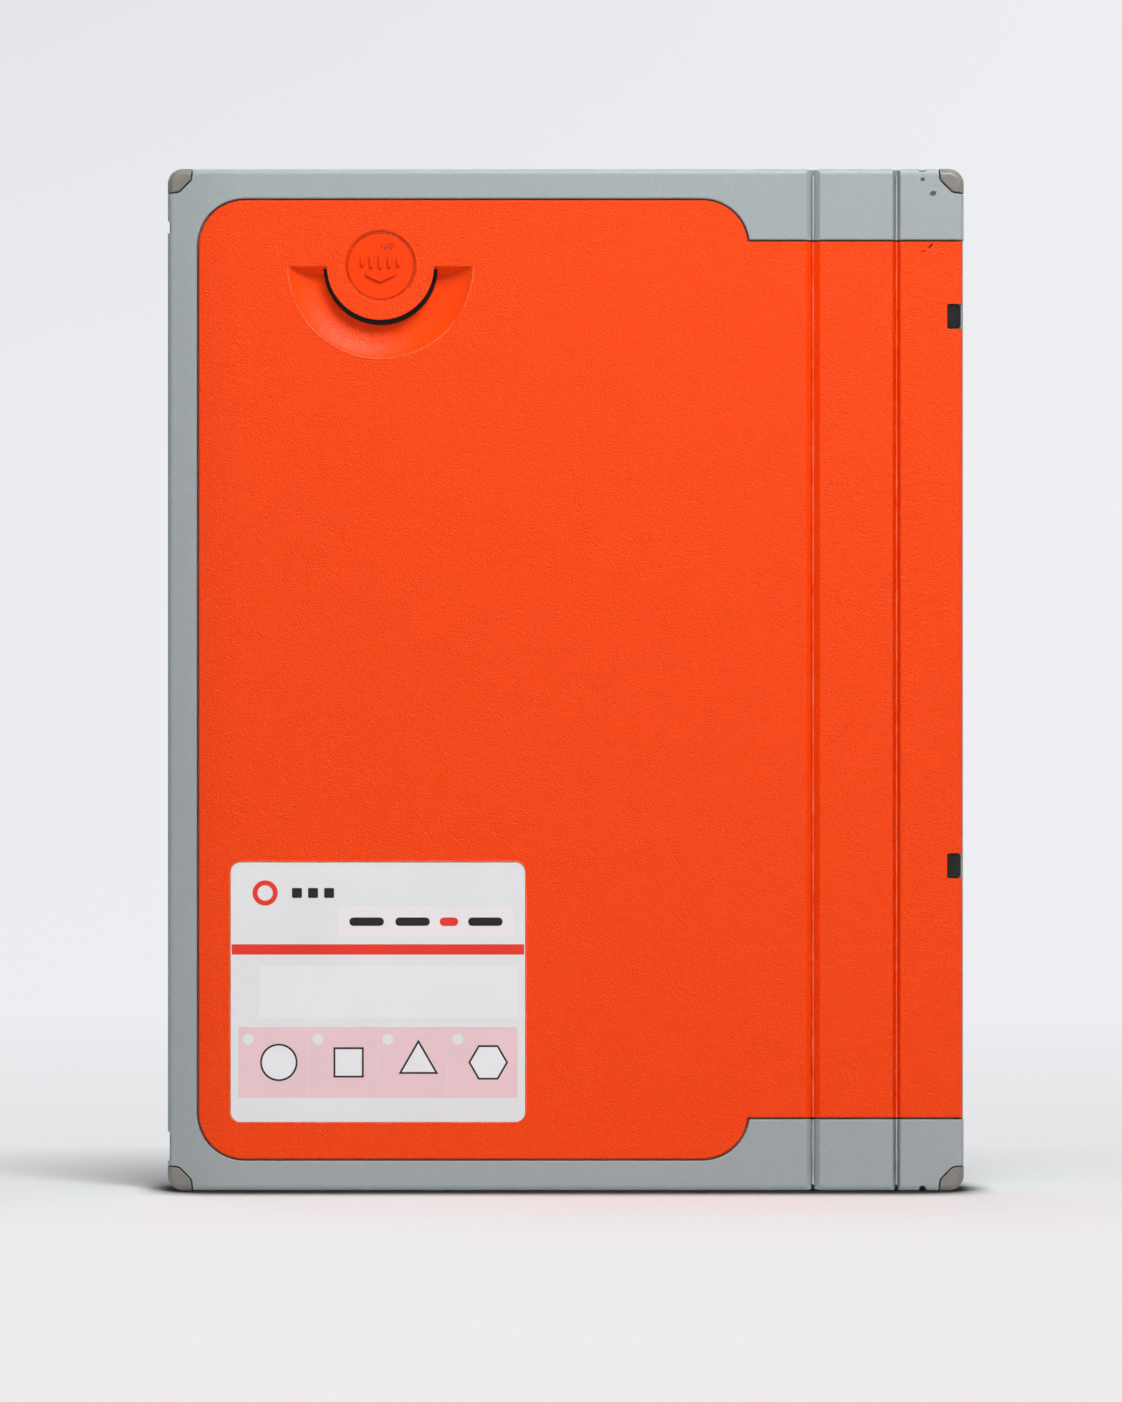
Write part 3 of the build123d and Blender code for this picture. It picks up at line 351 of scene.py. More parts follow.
def moulded_color(tree, place, light, dark, worn, grain):
    """Cloudy, flecked colour with worn edges, painted shade towards the latch edge and painted shade in the
    creases.
    """
    clouds = scaled(tree, cloudiness(tree, place, moulded_cloud), moulded_cloud_share)
    flecks = spread(tree, noise(tree, place, grain * 1.2, detail=2.0), 0.40, 0.62, 0.0, 1.0)
    color = mix_colors(tree, clouds, light, dark)
    color = mix_colors(tree, scaled(tree, flecks, fleck_share), color, dark)
    color = mix_colors(tree, scaled(tree, edge_wear(tree, place), wear_share), color, worn)
    # painted shade towards the latch edge
    color = mix_colors(tree, latch_edge_shade(tree, place), color, darker(dark, 0.7))
    # painted shade in the creases
    return mix_colors(tree, crease_shade(tree, crease_shade_reach, crease_shade_share), color, darker(dark, 0.5))


def moulded(name, light, dark, worn, roughness, specular, grain, depth, marks, mark_depth):
    """Moulded plastic: pebble grain on its faces, finer in dishes, with slow swells, and a few nicks darkened
    with painted shade.
    """
    material, tree, shader = new_material(name, roughness, specular)
    place = object_place(tree)
    on_face = near_face(tree, place)
    color = moulded_color(tree, place, light, dark, worn, grain)
    gloss = spread(tree, noise(tree, place, 12 * MM), 0.3, 0.7, roughness - 0.035, roughness + 0.04)
    polish = spread(tree, on_face, 0.0, 1.0, face_polish, 0.0)
    tree.links.new(calc(tree, "SUBTRACT", gloss, polish), shader.inputs["Roughness"])
    grained = pebble_height(tree, stretched(tree, place, grain_squash, grain_turn), grain, depth)
    height = scaled(tree, grained, spread(tree, on_face, 0.0, 1.0, dish_grain_share, 1.0))
    swells = scaled(tree, noise(tree, place, grain * 3.2, detail=2.0), depth * 0.35)
    height = calc(tree, "ADD", height, swells)
    for mark in marks:
        pressed = inside_mark(tree, place, mark)
        # each nick is dented by the bump and darkened with painted shade in its hollow
        color = mix_colors(tree, scaled(tree, pressed, 0.85), color, darker(dark, 0.15))
        height = calc(tree, "SUBTRACT", height, scaled(tree, pressed, mark_depth))
    set_color(tree, shader, color)
    set_bump(tree, shader, height, edge=soft_edge)
    return material


def satin(name, light, dark, roughness, specular):
    """Smooth moulding with faint flow marks and fine handling scratches."""
    material, tree, shader = new_material(name, roughness, specular)
    place = object_place(tree)
    scratches = noise(tree, stretched(tree, place, scratch_draw, scratch_turn), 0.5 * MM, detail=2.0)
    set_color(tree, shader, mix_colors(tree, cloudiness(tree, place, 7 * MM), light, dark))
    uneven_gloss(tree, shader, scratches, roughness, 0.06, 0.08)
    set_bump(tree, shader, scaled(tree, scratches, 0.012 * MM), edge=soft_edge)
    return material


def button_plastic():
    """Smooth orange moulding of the button, with a small scuff above its relief and painted shade in the
    creases round it.
    """
    material, tree, shader = new_material("button_plastic", roughness=0.38, specular=0.16)
    place = object_place(tree)
    low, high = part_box("open_button")
    scuff_x = (low.x + high.x) / 2 + scuff_right
    scuff_z = (low.z + high.z) / 2 + scuff_up
    near = inside_mark(tree, place, (scuff_x, scuff_z, scuff_half_length, scuff_half_width, scuff_slant))
    streaks = noise(tree, stretched(tree, place, scuff_draw, scuff_turn), 0.8 * MM, detail=4.0)
    scuff = scaled(tree, near, spread(tree, streaks, 0.49, 0.54, 0.0, 1.0))
    color = mix_colors(tree, cloudiness(tree, place, 5 * MM, 0.35), orange_smooth, orange_dark)
    # painted shade in the creases round the relief
    color = mix_colors(tree, crease_shade(tree, 0.6 * MM, 0.45), color, darker(orange_dark, 0.45))
    set_color(tree, shader, mix_colors(tree, scaled(tree, scuff, 0.75), color, button_scuff))
    fine = scaled(tree, noise(tree, place, 0.35 * MM), 0.010 * MM)
    height = calc(tree, "SUBTRACT", fine, scaled(tree, scuff, 0.05 * MM))
    set_bump(tree, shader, height, edge=0.15 * MM)
    return material


# ---- metals, sheets and cloths -------------------------------------------------------------------
def brushed(name, light, dark, roughness, stretch):
    """Rolled or drawn metal, whose lines run along the axis with the small stretch."""
    material, tree, shader = new_material(name, roughness, metallic=1.0)
    place = object_place(tree)
    lines = noise(tree, stretched(tree, place, stretch), 0.6 * MM, detail=4.0)
    set_color(tree, shader, mix_colors(tree, cloudiness(tree, place, 18 * MM), light, dark))
    uneven_gloss(tree, shader, lines, roughness, 0.07, 0.09)
    set_bump(tree, shader, scaled(tree, lines, 0.010 * MM))
    return material


def velour(name, color, tip):
    """Short black pile whose tips are painted lighter, a painted highlight, beside the shader's own sheen."""
    material, tree, shader = new_material(name, roughness=0.95, specular=0.15)
    shader.inputs["Sheen Weight"].default_value = 0.25
    shader.inputs["Sheen Roughness"].default_value = 0.5
    place = object_place(tree)
    pile = noise(tree, place, 0.45 * MM, detail=5.0, roughness=0.7)
    nap = noise(tree, place, 14 * MM)
    tufts = scaled(tree, spread(tree, pile, 0.4, 0.7, 0.0, 1.0), spread(tree, nap, 0.3, 0.7, 0.4, 1.0))
    # lighter tufts: a painted highlight on the pile
    set_color(tree, shader, mix_colors(tree, tufts, color, tip))
    set_bump(tree, shader, scaled(tree, pile, 0.16 * MM))
    return material


def cut_foam():
    """Open-cell foam whose pores are darkened with painted shade."""
    material, tree, shader = new_material("cut_foam", roughness=0.92, specular=0.2)
    pore_size = 0.5 * MM
    cells = add_node(tree, "TexVoronoi", {"Vector": object_place(tree), "Scale": 1 / pore_size})
    pores = cells.outputs["Distance"]
    # pores darkened: painted shade in the pits
    set_color(tree, shader, mix_colors(tree, spread(tree, pores, 0.1, 0.5, 0.0, 1.0), foam_pore_shade, foam_skin))
    set_bump(tree, shader, scaled(tree, pores, 0.14 * MM))
    return material


def thread_round(tree, count):
    """Height across a row of round threads, given the place in threads."""
    return calc(tree, "ABSOLUTE", calc(tree, "SINE", scaled(tree, count, pi)))


def twill_laminate():
    """Dark laminate of the tube side: a fine two-by-two twill under a matt skin, its upright threads painted
    lighter as a painted sheen.
    """
    material, tree, shader = new_material("twill_laminate", roughness=0.48, specular=0.35)
    place = object_place(tree)
    thread = 1.1 * MM
    repeat, floats = 4.0, 2.0
    across = calc(tree, "DIVIDE", axis_of(tree, place, "X"), thread)
    along = calc(tree, "DIVIDE", axis_of(tree, place, "Z"), thread)
    steps = calc(tree, "ADD", calc(tree, "FLOOR", across), calc(tree, "FLOOR", along))
    over = calc(tree, "LESS_THAN", calc(tree, "FLOORED_MODULO", steps, repeat), floats)
    warp = scaled(tree, thread_round(tree, across), over)
    weft = scaled(tree, thread_round(tree, along), calc(tree, "SUBTRACT", 1.0, over))
    weave = calc(tree, "ADD", warp, weft)
    # threads that run up are painted lighter than those that run across: a painted sheen
    threads = mix_colors(tree, over, thread_dark, thread_sheen)
    set_color(tree, shader, mix_colors(tree, cloudiness(tree, place, 30 * MM, 0.35), threads, thread_cloud))
    tree.links.new(spread(tree, weave, 0.0, 1.0, 0.56, 0.44), shader.inputs["Roughness"])
    set_bump(tree, shader, scaled(tree, weave, 0.02 * MM))
    return material


def printed(name, light, dark, roughness=0.42):
    """Satin film or its ink: nearly even, with faint cloudiness and a soft ripple."""
    material, tree, shader = new_material(name, roughness, specular=0.4)
    place = object_place(tree)
    set_color(tree, shader, mix_colors(tree, cloudiness(tree, place, 16 * MM), light, dark))
    uneven_gloss(tree, shader, noise(tree, place, 2.5 * MM), roughness, 0.04, 0.05)
    set_bump(tree, shader, scaled(tree, noise(tree, place, 9 * MM), 0.05 * MM))
    return material


# nicks near the upper hinge corner: place x and z, half length, half width, and slant
grey_marks = [
    (93.1 * MM, 266.4 * MM, 0.95 * MM, 0.30 * MM, 0.0),
    (93.2 * MM, 264.1 * MM, 0.65 * MM, 0.50 * MM, 0.3),
    (95.9 * MM, 260.4 * MM, 0.95 * MM, 0.70 * MM, 0.4),
]
orange_marks = [
    (95.3 * MM, 246.8 * MM, 1.10 * MM, 0.34 * MM, 0.8),
    (93.4 * MM, 245.4 * MM, 0.80 * MM, 0.18 * MM, 0.4),
]
grey_abs = moulded(
    "grey_abs", grey, grey_dark, grey_scuffed, roughness=0.46, specular=0.35,
    grain=0.55 * MM, depth=0.05 * MM, marks=grey_marks, mark_depth=0.40 * MM,
)
orange_abs = moulded(
    "orange_abs", orange, orange_dark, orange_scuffed, roughness=0.32, specular=0.13,
    grain=0.50 * MM, depth=0.20 * MM, marks=orange_marks, mark_depth=0.15 * MM,
)
materials = {
    "grey_plastic": grey_abs,
    "orange_plastic": orange_abs,
    "orange_button": button_plastic(),
    "pewter_plastic": satin("pewter_nylon", pewter, pewter_dark, roughness=0.38, specular=0.45),
    "black_plastic": satin("black_nylon", black, black_worn, roughness=0.34, specular=0.40),
    "white_acetal": satin("white_acetal", acetal, acetal_shade, roughness=0.35, specular=0.5),
    "steel": brushed("zinc_steel", zinc, zinc_dark, 0.32, stretch=(1.0, 1.0, 0.1)),
    "spring_steel": brushed("spring_wire", spring_wire, spring_wire_dark, 0.28, stretch=(1.0, 0.1, 1.0)),
    "carbon_laminate": twill_laminate(),
    "black_felt": velour("black_velour", black, pile_tip_highlight),
    "foam": cut_foam(),
    "aluminium_sheet": brushed("rolled_aluminium", aluminium, aluminium_dark, 0.36, stretch=(1.0, 1.0, 0.03)),
    "lead_foil": brushed("lead_foil", lead, lead_dark, 0.55, stretch=(0.03, 1.0, 1.0)),
    "plate_back": brushed("anodised_plate", anodised, anodised_dark, 0.48, stretch=(0.04, 1.0, 1.0)),
    "phosphor": printed("phosphor_coat", phosphor, phosphor_shade, roughness=0.6),
    "label_card": printed("label_film", card, card_shade),
}
# Paler, glossier looks for the hinge webs and the beads: the paler colour is a painted highlight, the lower
# roughness is real gloss.
painted_highlight_looks = {
    "grey_plastic": satin("grey_painted_highlight", grey_highlight_tint, grey, roughness=0.27, specular=0.5),
    "orange_plastic": satin("orange_painted_highlight", orange_highlight_tint, orange, roughness=0.24, specular=0.5),
}
ink_red = printed("ink_red", print_red, darker(print_red, 0.9))
ink_pink = printed("ink_pink", print_pink, darker(print_pink, 0.96))
ink_pink_pale = printed("ink_pink_pale", print_pink_pale, print_pink_pale_shade)
ink_grey = printed("ink_grey", print_grey, darker(print_grey, 0.97))
ink_line = printed("ink_line", print_line, darker(print_line, 0.7))
ink_white = printed("ink_white", card, card_shade)

for part in frame["record"]["subparts"]:
    node_mesh = frame["nodes"][part["node"]].data
    node_mesh.materials.clear()
    node_mesh.materials.append(materials[part["material_slot"]])


# ---- mesh helpers --------------------------------------------------------------------------------
merge_distance = 1e-7
sharp_angle = 0.7


def make_piece(name, vertices, faces, material, slot, smooth=False):
    """Mesh object with outward faces, in place, with its material. Its slot argument is not used."""
    mesh = bpy.data.meshes.new(name)
    mesh.from_pydata([tuple(vertex) for vertex in vertices], [], faces)
    cleaned = bmesh.new()
    cleaned.from_mesh(mesh)
    bmesh.ops.remove_doubles(cleaned, verts=cleaned.verts, dist=merge_distance)
    bmesh.ops.recalc_face_normals(cleaned, faces=cleaned.faces)
    cleaned.to_mesh(mesh)
    cleaned.free()
    mesh.materials.append(material)
    for face in mesh.polygons:
        face.use_smooth = smooth
    piece = bpy.data.objects.new(name, mesh)
    bpy.context.scene.collection.objects.link(piece)
    if smooth:
        mesh.set_sharp_from_angle(angle=sharp_angle)
    return piece


def joined(forms):
    """Vertices and faces of several forms, each given by its own, as one mesh."""
    vertices, faces = [], []
    for form_vertices, form_faces in forms:
        start = len(vertices)
        vertices += form_vertices
        faces += [tuple(start + index for index in face) for face in form_faces]
    return vertices, faces


def stack_rings(rings):
    """Vertices and faces of a closed form through rings of equal length, from the first to the last."""
    count = len(rings[0])
    vertices = [point for ring in rings for point in ring]
    faces = [tuple(range(count))]
    for level in range(len(rings) - 1):
        for step in range(count):
            after = (step + 1) % count
            low, high = level * count, (level + 1) * count
            faces.append((low + step, low + after, high + after, high + step))
    faces.append(tuple(reversed(range((len(rings) - 1) * count, len(rings) * count))))
    return vertices, faces


def rounded_rectangle(centre, half_x, half_z, radius, steps=6):
    """Points round a rectangle with round corners, in the XZ plane."""
    points = []
    for turn, (side_x, side_z) in enumerate(((1, 1), (-1, 1), (-1, -1), (1, -1))):
        corner_x = centre[0] + side_x * (half_x - radius)
        corner_z = centre[1] + side_z * (half_z - radius)
        for step in range(steps + 1):
            angle = (turn + step / steps) * pi / 2
            points.append((corner_x + radius * cos(angle), corner_z + radius * sin(angle)))
    return points


def capsule(centre, half_length, half_width, steps=6):
    """Upright bar with round ends, in the XZ plane."""
    points = []
    for end, start in ((1, 0.0), (-1, pi)):
        end_z = centre[1] + end * (half_length - half_width)
        for step in range(steps + 1):
            angle = start + pi * step / steps
            points.append((centre[0] + half_width * cos(angle), end_z + half_width * sin(angle)))
    return points


def circle_points(centre, radius, angles):
    """Points on a circle in the XZ plane, at the given angles."""
    return [(centre[0] + radius * cos(angle), centre[1] + radius * sin(angle)) for angle in angles]


# ---- hinge films ---------------------------------------------------------------------------------
film_steps = 20
film_waist = 0.10 * MM
film_bead = 0.90 * MM
film_bead_share = 0.34
film_bead_flatness = 1.6
panel_gap = 0.45 * MM


def film_front(low_y, share):
    """Y of a web's front at a share of its width: thinned, with a flat-topped bead along its middle."""
    crown = film_bead_flatness * (1.0 - ((share - 0.5) / film_bead_share) ** 2)
    return low_y + film_waist * sin(pi * share) - film_bead * min(1.0, max(0.0, crown))


def film_strip(low, high, bottom_z, top_z):
    """Web of a living hinge between two heights: flat underneath, with a bead in front."""
    vertices, faces = [], []
    for step in range(film_steps + 1):
        share = step / film_steps
        x = low.x + (high.x - low.x) * share
        vertices += [(x, y, z) for y in (high.y, film_front(low.y, share)) for z in (bottom_z, top_z)]
    for step in range(film_steps):
        a, b = 4 * step, 4 * step + 4
        faces += [(a, a + 1, b + 1, b), (a + 2, b + 2, b + 3, a + 3)]
        faces += [(a, b, b + 2, a + 2), (a + 1, a + 3, b + 3, b + 1)]
    end = 4 * film_steps
    faces += [(0, 2, 3, 1), (end, end + 1, end + 3, end + 2)]
    return vertices, faces


def hinge_films(place):
    """Grey and orange webs of one hinge, between its two bodies."""
    frame_low, frame_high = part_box("frame_hinge_" + place)
    low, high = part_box("panel_hinge_" + place)
    frame_spans = [(frame_low.z, low.z - panel_gap), (high.z + panel_gap, frame_high.z)]
    webs = (
        ("frame_web_", "frame_hinge_", "grey_plastic", frame_spans),
        ("panel_web_", "panel_hinge_", "orange_plastic", [(low.z, high.z)]),
    )
    for name, node, slot, spans in webs:
        form = joined([film_strip(low, high, bottom_z, top_z) for bottom_z, top_z in spans])
        # the webs take the paler look, a painted highlight along their beads
        web = make_piece(name + place, *form, painted_highlight_looks[slot], slot, smooth=True)
        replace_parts(web, node + place)
        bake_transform(web)


hinge_films("inner")
hinge_films("outer")

# ---- soft linings --------------------------------------------------------------------------------
edge_steps = 5
crown_profile = ((2.5 * MM, 0.45), (5.0 * MM, 0.75), (9.0 * MM, 0.92), (16.0 * MM, 1.0))
smallest_corner = 0.2 * MM


def soft_slab(low, high, corner, edge, crown=0.0):
    """Flat back at low.y and a softly rounded front at high.y, which swells by crown towards its middle."""
    centre = ((low.x + high.x) / 2, (low.z + high.z) / 2)
    half_x = (high.x - low.x) / 2
    half_z = (high.z - low.z) / 2
    shoulder = high.y - crown
    profile = [(0.0, low.y), (0.0, shoulder - edge)]
    for step in range(1, edge_steps + 1):
        angle = step / edge_steps * pi / 2
        profile.append((edge * (1 - cos(angle)), shoulder - edge + edge * sin(angle)))
    if crown:
        profile += [(inset, shoulder + crown * share) for inset, share in crown_profile]
    rings = []
    for inset, level in profile:
        radius = max(corner - inset, smallest_corner)
        outline = rounded_rectangle(centre, half_x - inset, half_z - inset, radius)
        rings.append([(x, level, z) for x, z in outline])
    return stack_rings(rings)


def lining(name, node, body, slot, corner, edge, crown=0.0):
    """Soft flat lining in the place of a CAD node, and its flat size."""
    low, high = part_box(node)
    piece = make_piece(name, *soft_slab(low, high, corner, edge, crown), materials[slot], slot, smooth=True)
    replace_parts(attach(piece, body), node)
    return piece, (high.x - low.x, high.z - low.z)


foam_pad, _ = lining("foam_pad", "pressure_foam", "lid", "foam", corner=4 * MM, edge=0.7 * MM)

foam_cloth, cloth_size = lining(
    "foam_cloth", "foam_cover", "lid", "black_felt", corner=4 * MM, edge=0.15 * MM, crown=0.2 * MM
)

tray_felt, felt_size = lining("tray_felt", "tray_liner", "base", "black_felt", corner=3 * MM, edge=0.25 * MM)


def seal_strips():
    """Velour light seal: three soft strips round the lid's border, clear of the corner bumpers."""
    low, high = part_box("light_seal")
    strip = 1.6 * MM
    bumper_clearance = 1.15 * MM
    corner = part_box("corner_bumper_top_left")[1].x - low.x + bumper_clearance
    runs = [
        (low.x, low.x + strip, low.z + corner, high.z - corner),
        (low.x + corner, high.x, low.z, low.z + strip),
        (low.x + corner, high.x, high.z - strip, high.z),
    ]
    strips = []
    for left, right, bottom, top in runs:
        first, last = Vector((left, low.y, bottom)), Vector((right, high.y, top))
        strips.append(soft_slab(first, last, corner=0.5 * MM, edge=0.3 * MM))
    seal = make_piece("seal_strips", *joined(strips), materials["black_felt"], "black_felt", smooth=True)
    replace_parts(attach(seal, "lid"), "light_seal")


seal_strips()


# ---- return spring -------------------------------------------------------------------------------
def return_spring():
    """Round-wire coil spring, closed at both ends."""
    low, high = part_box("latch_spring")
    wire = 0.2 * MM
    turns, closed_turns = 6.5, 0.75
    steps, sides = 20, 8
    centre = (low + high) / 2
    radius = (high.x - low.x) / 2 - wire
    bottom, top = low.z + wire, high.z - wire
    rings = []
    for step in range(int(turns * steps) + 1):
        turned = step / steps
        share = (turned - closed_turns) / (turns - 2 * closed_turns)
        z = bottom + (top - bottom) * min(max(share, 0.0), 1.0)
        angle = 2 * pi * turned
        ring = []
        for side in range(sides):
            around = 2 * pi * side / sides
            reach = radius + wire * cos(around)
            x, y = centre.x + reach * cos(angle), centre.y + reach * sin(angle)
            ring.append((x, y, z + wire * sin(around)))
        rings.append(ring)
    form = stack_rings(rings)
    coil = make_piece("return_coil", *form, materials["spring_steel"], "spring_steel", smooth=True)
    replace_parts(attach(coil, "lid"), "latch_spring")
    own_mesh(coil)


return_spring()

# ---- relief on the button ------------------------------------------------------------------------
button_low, button_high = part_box("open_button")
button_x = (button_low.x + button_high.x) / 2
button_z = (button_low.z + button_high.z) / 2
# steps up a raised shape's side: share of its shoulder, and share of its height
relief_profile = ((0.0, -0.2), (0.0, 0.7), (0.4, 0.95), (1.0, 1.0))
shortest = 1e-6
least_kept = 0.3
ridge_pitch = 2.35 * MM
ridge_half_width = 0.50 * MM
ridge_half_lengths = [1.2 * MM, 1.6 * MM, 1.8 * MM, 1.6 * MM, 1.2 * MM]
ridge_z = button_z + 1.25 * MM
arrow_top = button_z - 1.6 * MM
arrow_half = 3.9 * MM
arrow_arm = 0.75 * MM
arrow_drop = 1.75 * MM


def raised_form(outline, height, shoulder):
    """Raised shape on the button, drawn in towards the outline's own middle at its rounded shoulder."""
    middle_x = sum(x for x, _ in outline) / len(outline)
    middle_z = sum(z for _, z in outline) / len(outline)
    rings = []
    for inward, rise in relief_profile:
        ring = []
        for x, z in outline:
            away = Vector((x - middle_x, z - middle_z))
            length = max(away.length, shortest)
            keep = max(length - shoulder * inward, least_kept * length) / length
            level = button_low.y - height * rise
            ring.append((middle_x + away.x * keep, level, middle_z + away.y * keep))
        rings.append(ring)
    return stack_rings(rings)


def button_relief(name, outlines, height, shoulder):
    """Raised shapes on the button, as one piece."""
    form = joined([raised_form(outline, height, shoulder) for outline in outlines])
    piece = make_piece(name, *form, materials["orange_button"], "orange_button", smooth=True)
    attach(piece, "open_button")


ridges = [
    capsule((button_x + (place - 2) * ridge_pitch, ridge_z), half_length, ridge_half_width)
    for place, half_length in enumerate(ridge_half_lengths)
]
arrow_halves = [
    [
        (button_x, arrow_top - arrow_drop),
        (button_x, arrow_top - arrow_drop - arrow_arm),
        (button_x + side * arrow_half, arrow_top - arrow_arm),
        (button_x + side * arrow_half, arrow_top),
    ]
    for side in (-1, 1)
]
button_relief("button_ridges", ridges, height=0.55 * MM, shoulder=0.12 * MM)
button_relief("button_arrow", arrow_halves, height=0.50 * MM, shoulder=0.1 * MM)

# ---- fine beads: dish rim, label rim and the ring that seals the button's gap --------------------
bead_section = [(-1.0, -0.4), (-0.85, 0.45), (-0.4, 0.92), (0.4, 0.92), (0.85, 0.45), (1.0, -0.4)]
bead_half_width = 0.20 * MM
dish_rim_radius = 24.22 * MM
dish_rim_height = 0.12 * MM
gasket_radius = 8.875 * MM
gasket_half_width = 0.15 * MM
gasket_foot = -6.3 * MM
gasket_height = 0.90 * MM
label_rim_reach = 0.28 * MM
label_rim_corner = 2.9 * MM
label_rim_height = 0.14 * MM


def bead(name, path, closed, half_width, foot, height):
    """Half-round bead along a path on the lid, in the XZ plane."""
    count, sides = len(path), len(bead_section)
    vertices, faces = [], []
    for place, (x, z) in enumerate(path):
        before = path[place - 1] if closed or place else path[place]
        after = path[(place + 1) % count] if closed or place < count - 1 else path[place]
        along = Vector((after[0] - before[0], after[1] - before[1])).normalized()
        for across, rise in bead_section:
            shift = across * half_width
            vertices.append((x - along.y * shift, foot - height * rise, z + along.x * shift))
    for place in range(count if closed else count - 1):
        start, end = place * sides, (place + 1) % count * sides
        for side in range(sides):
            after = (side + 1) % sides
            faces.append((start + side, start + after, end + after, end + side))
    if not closed:
        last = (count - 1) * sides
        faces += [tuple(range(sides)), tuple(last + side for side in reversed(range(sides)))]
    # the bead takes the paler look: a painted highlight along it
    piece = make_piece(name, vertices, faces, painted_highlight_looks["orange_plastic"], "orange_plastic", smooth=True)
    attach(piece, "lid")


def button_arc(radius, start, end, steps):
    """Points on a circle round the push button, between two angles in degrees."""
    angles = [radians(start + (end - start) * step / steps) for step in range(steps + 1)]
    return circle_points((button_x, button_z), radius, angles)


lower_half = button_arc(dish_rim_radius, 181.0, 359.0, 90)
whole_turn = button_arc(gasket_radius, 0.0, 355.0, 71)
bead("dish_rim", lower_half, False, bead_half_width, cad_low.y, dish_rim_height)
bead("button_gasket", whole_turn, True, gasket_half_width, gasket_foot, gasket_height)

# ---- print on the label --------------------------------------------------------------------------
label_low, label_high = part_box("id_label")
label_middle = (label_low + label_high) / 2
label_half = (label_high - label_low) / 2
label_edge = rounded_rectangle(
    (label_middle.x, label_middle.z),
    label_half.x + label_rim_reach,
    label_half.z + label_rim_reach,
    label_rim_corner,
    steps=8,
)
bead("label_rim", label_edge, True, bead_half_width, cad_low.y, label_rim_height)
print_face = label_low.y
ink = 0.012 * MM


def label_print(name, outlines, layers, material):
    """Ink on the label, as many layers thick: flat shapes, each given by its outline."""
    levels = (print_face, print_face - layers * ink)
    forms = []
    for outline in outlines:
        forms.append(stack_rings([[(x, level, z) for x, z in outline] for level in levels]))
    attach(make_piece(name, *joined(forms), material, "label_card"), "lid")


def label_place(from_left, from_top):
    """Place on the label, in metres, from millimetres right of its left edge and below its top edge."""
    return (label_low.x + from_left * MM, label_high.z - from_top * MM)


def label_box(left, right, top, bottom, radius=0.3):
    """Outline of a printed rectangle, in millimetres from the label's left and top edges."""
    centre = label_place((left + right) / 2, (top + bottom) / 2)
    return rounded_rectangle(centre, (right - left) / 2 * MM, (bottom - top) / 2 * MM, radius * MM, steps=3)


def label_figure(from_left, from_top, radius, sides, turn=0.0):
    """Outline of a regular figure or circle on the label, in millimetres from its left and top edges."""
    angles = [turn + 2 * pi * side / sides for side in range(sides)]
    return circle_points(label_place(from_left, from_top), radius * MM, angles)


# the print's layout, in millimetres from the label's left and top edges
label_width = (label_high.x - label_low.x) / MM
rule_margin, rule_top, rule_bottom = 0.25, 21.4, 24.1
band_left, band_right, band_top, band_bottom = 2.0, label_width - 2.0, 43.0, 61.5
field_left, field_top, field_bottom = 7.5, 27.0, 40.5
head_left, head_right, head_top, head_bottom = 28.0, 74.0, 11.5, 19.5
ring_left, ring_top, ring_radius, ring_eye = 9.0, 8.0, 3.3, 2.0
square_lefts, square_top, square_size = (16.0, 20.2, 24.4), 6.7, 2.6
bar_lefts, bar_width, bar_top, bar_bottom = (31.0, 43.0, 62.0), 9.0, 14.4, 16.6
red_bar_left, red_bar_right = 54.6, 59.4
bar_corner = 1.0
circle_sides = 40

cell_count = 4
cell_width = (band_right - band_left) / cell_count
cell_middle = (band_top + band_bottom) / 2
cell_lefts = [band_left + cell_width * cell for cell in range(cell_count)]
tick_inset, tick_drop, tick_radius, tick_sides = 2.6, 3.2, 1.45, 28
figure_place = 0.58
figure_line = 0.5
figures = [(circle_sides, 0.0, 4.9), (4, pi / 4, 5.6), (3, pi / 2, 6.0), (6, 0.0, 5.2)]
dot_half, dot_corner, dot_pitch = 0.16, 0.05, 1.05
dots_drop, dots_margin = 0.8, 1.0
dot_count = int((band_bottom - band_top - dots_margin) / dot_pitch) + 1


def cell_figures(line):
    """One plain figure in each cell of the band, drawn in by the width of its line."""
    outlines = []
    for cell, (sides, turn, radius) in enumerate(figures):
        from_left = band_left + cell_width * (cell + figure_place)
        outlines.append(label_figure(from_left, cell_middle, radius - line / cos(pi / sides), sides, turn))
    return outlines


def divider_dots():
    """Dotted lines between the cells of the band."""
    tops = [band_top + dots_drop + dot_pitch * step for step in range(dot_count)]
    return [
        label_box(x - dot_half, x + dot_half, top - dot_half, top + dot_half, dot_corner)
        for x in cell_lefts[1:]
        for top in tops
    ]


rule = label_box(rule_margin, label_width - rule_margin, rule_top, rule_bottom, 0.1)
band = label_box(band_left, band_right, band_top, band_bottom)
field = label_box(field_left, band_right, field_top, field_bottom)
head = label_box(head_left, head_right, head_top, head_bottom, 1.2)
ticks = [
    label_figure(left + tick_inset, band_top + tick_drop, tick_radius, tick_sides) for left in cell_lefts
]
squares = [
    label_box(left, left + square_size, square_top, square_top + square_size) for left in square_lefts
]
bars = [label_box(left, left + bar_width, bar_top, bar_bottom, bar_corner) for left in bar_lefts]
red_bar = label_box(red_bar_left, red_bar_right, bar_top, bar_bottom, bar_corner)

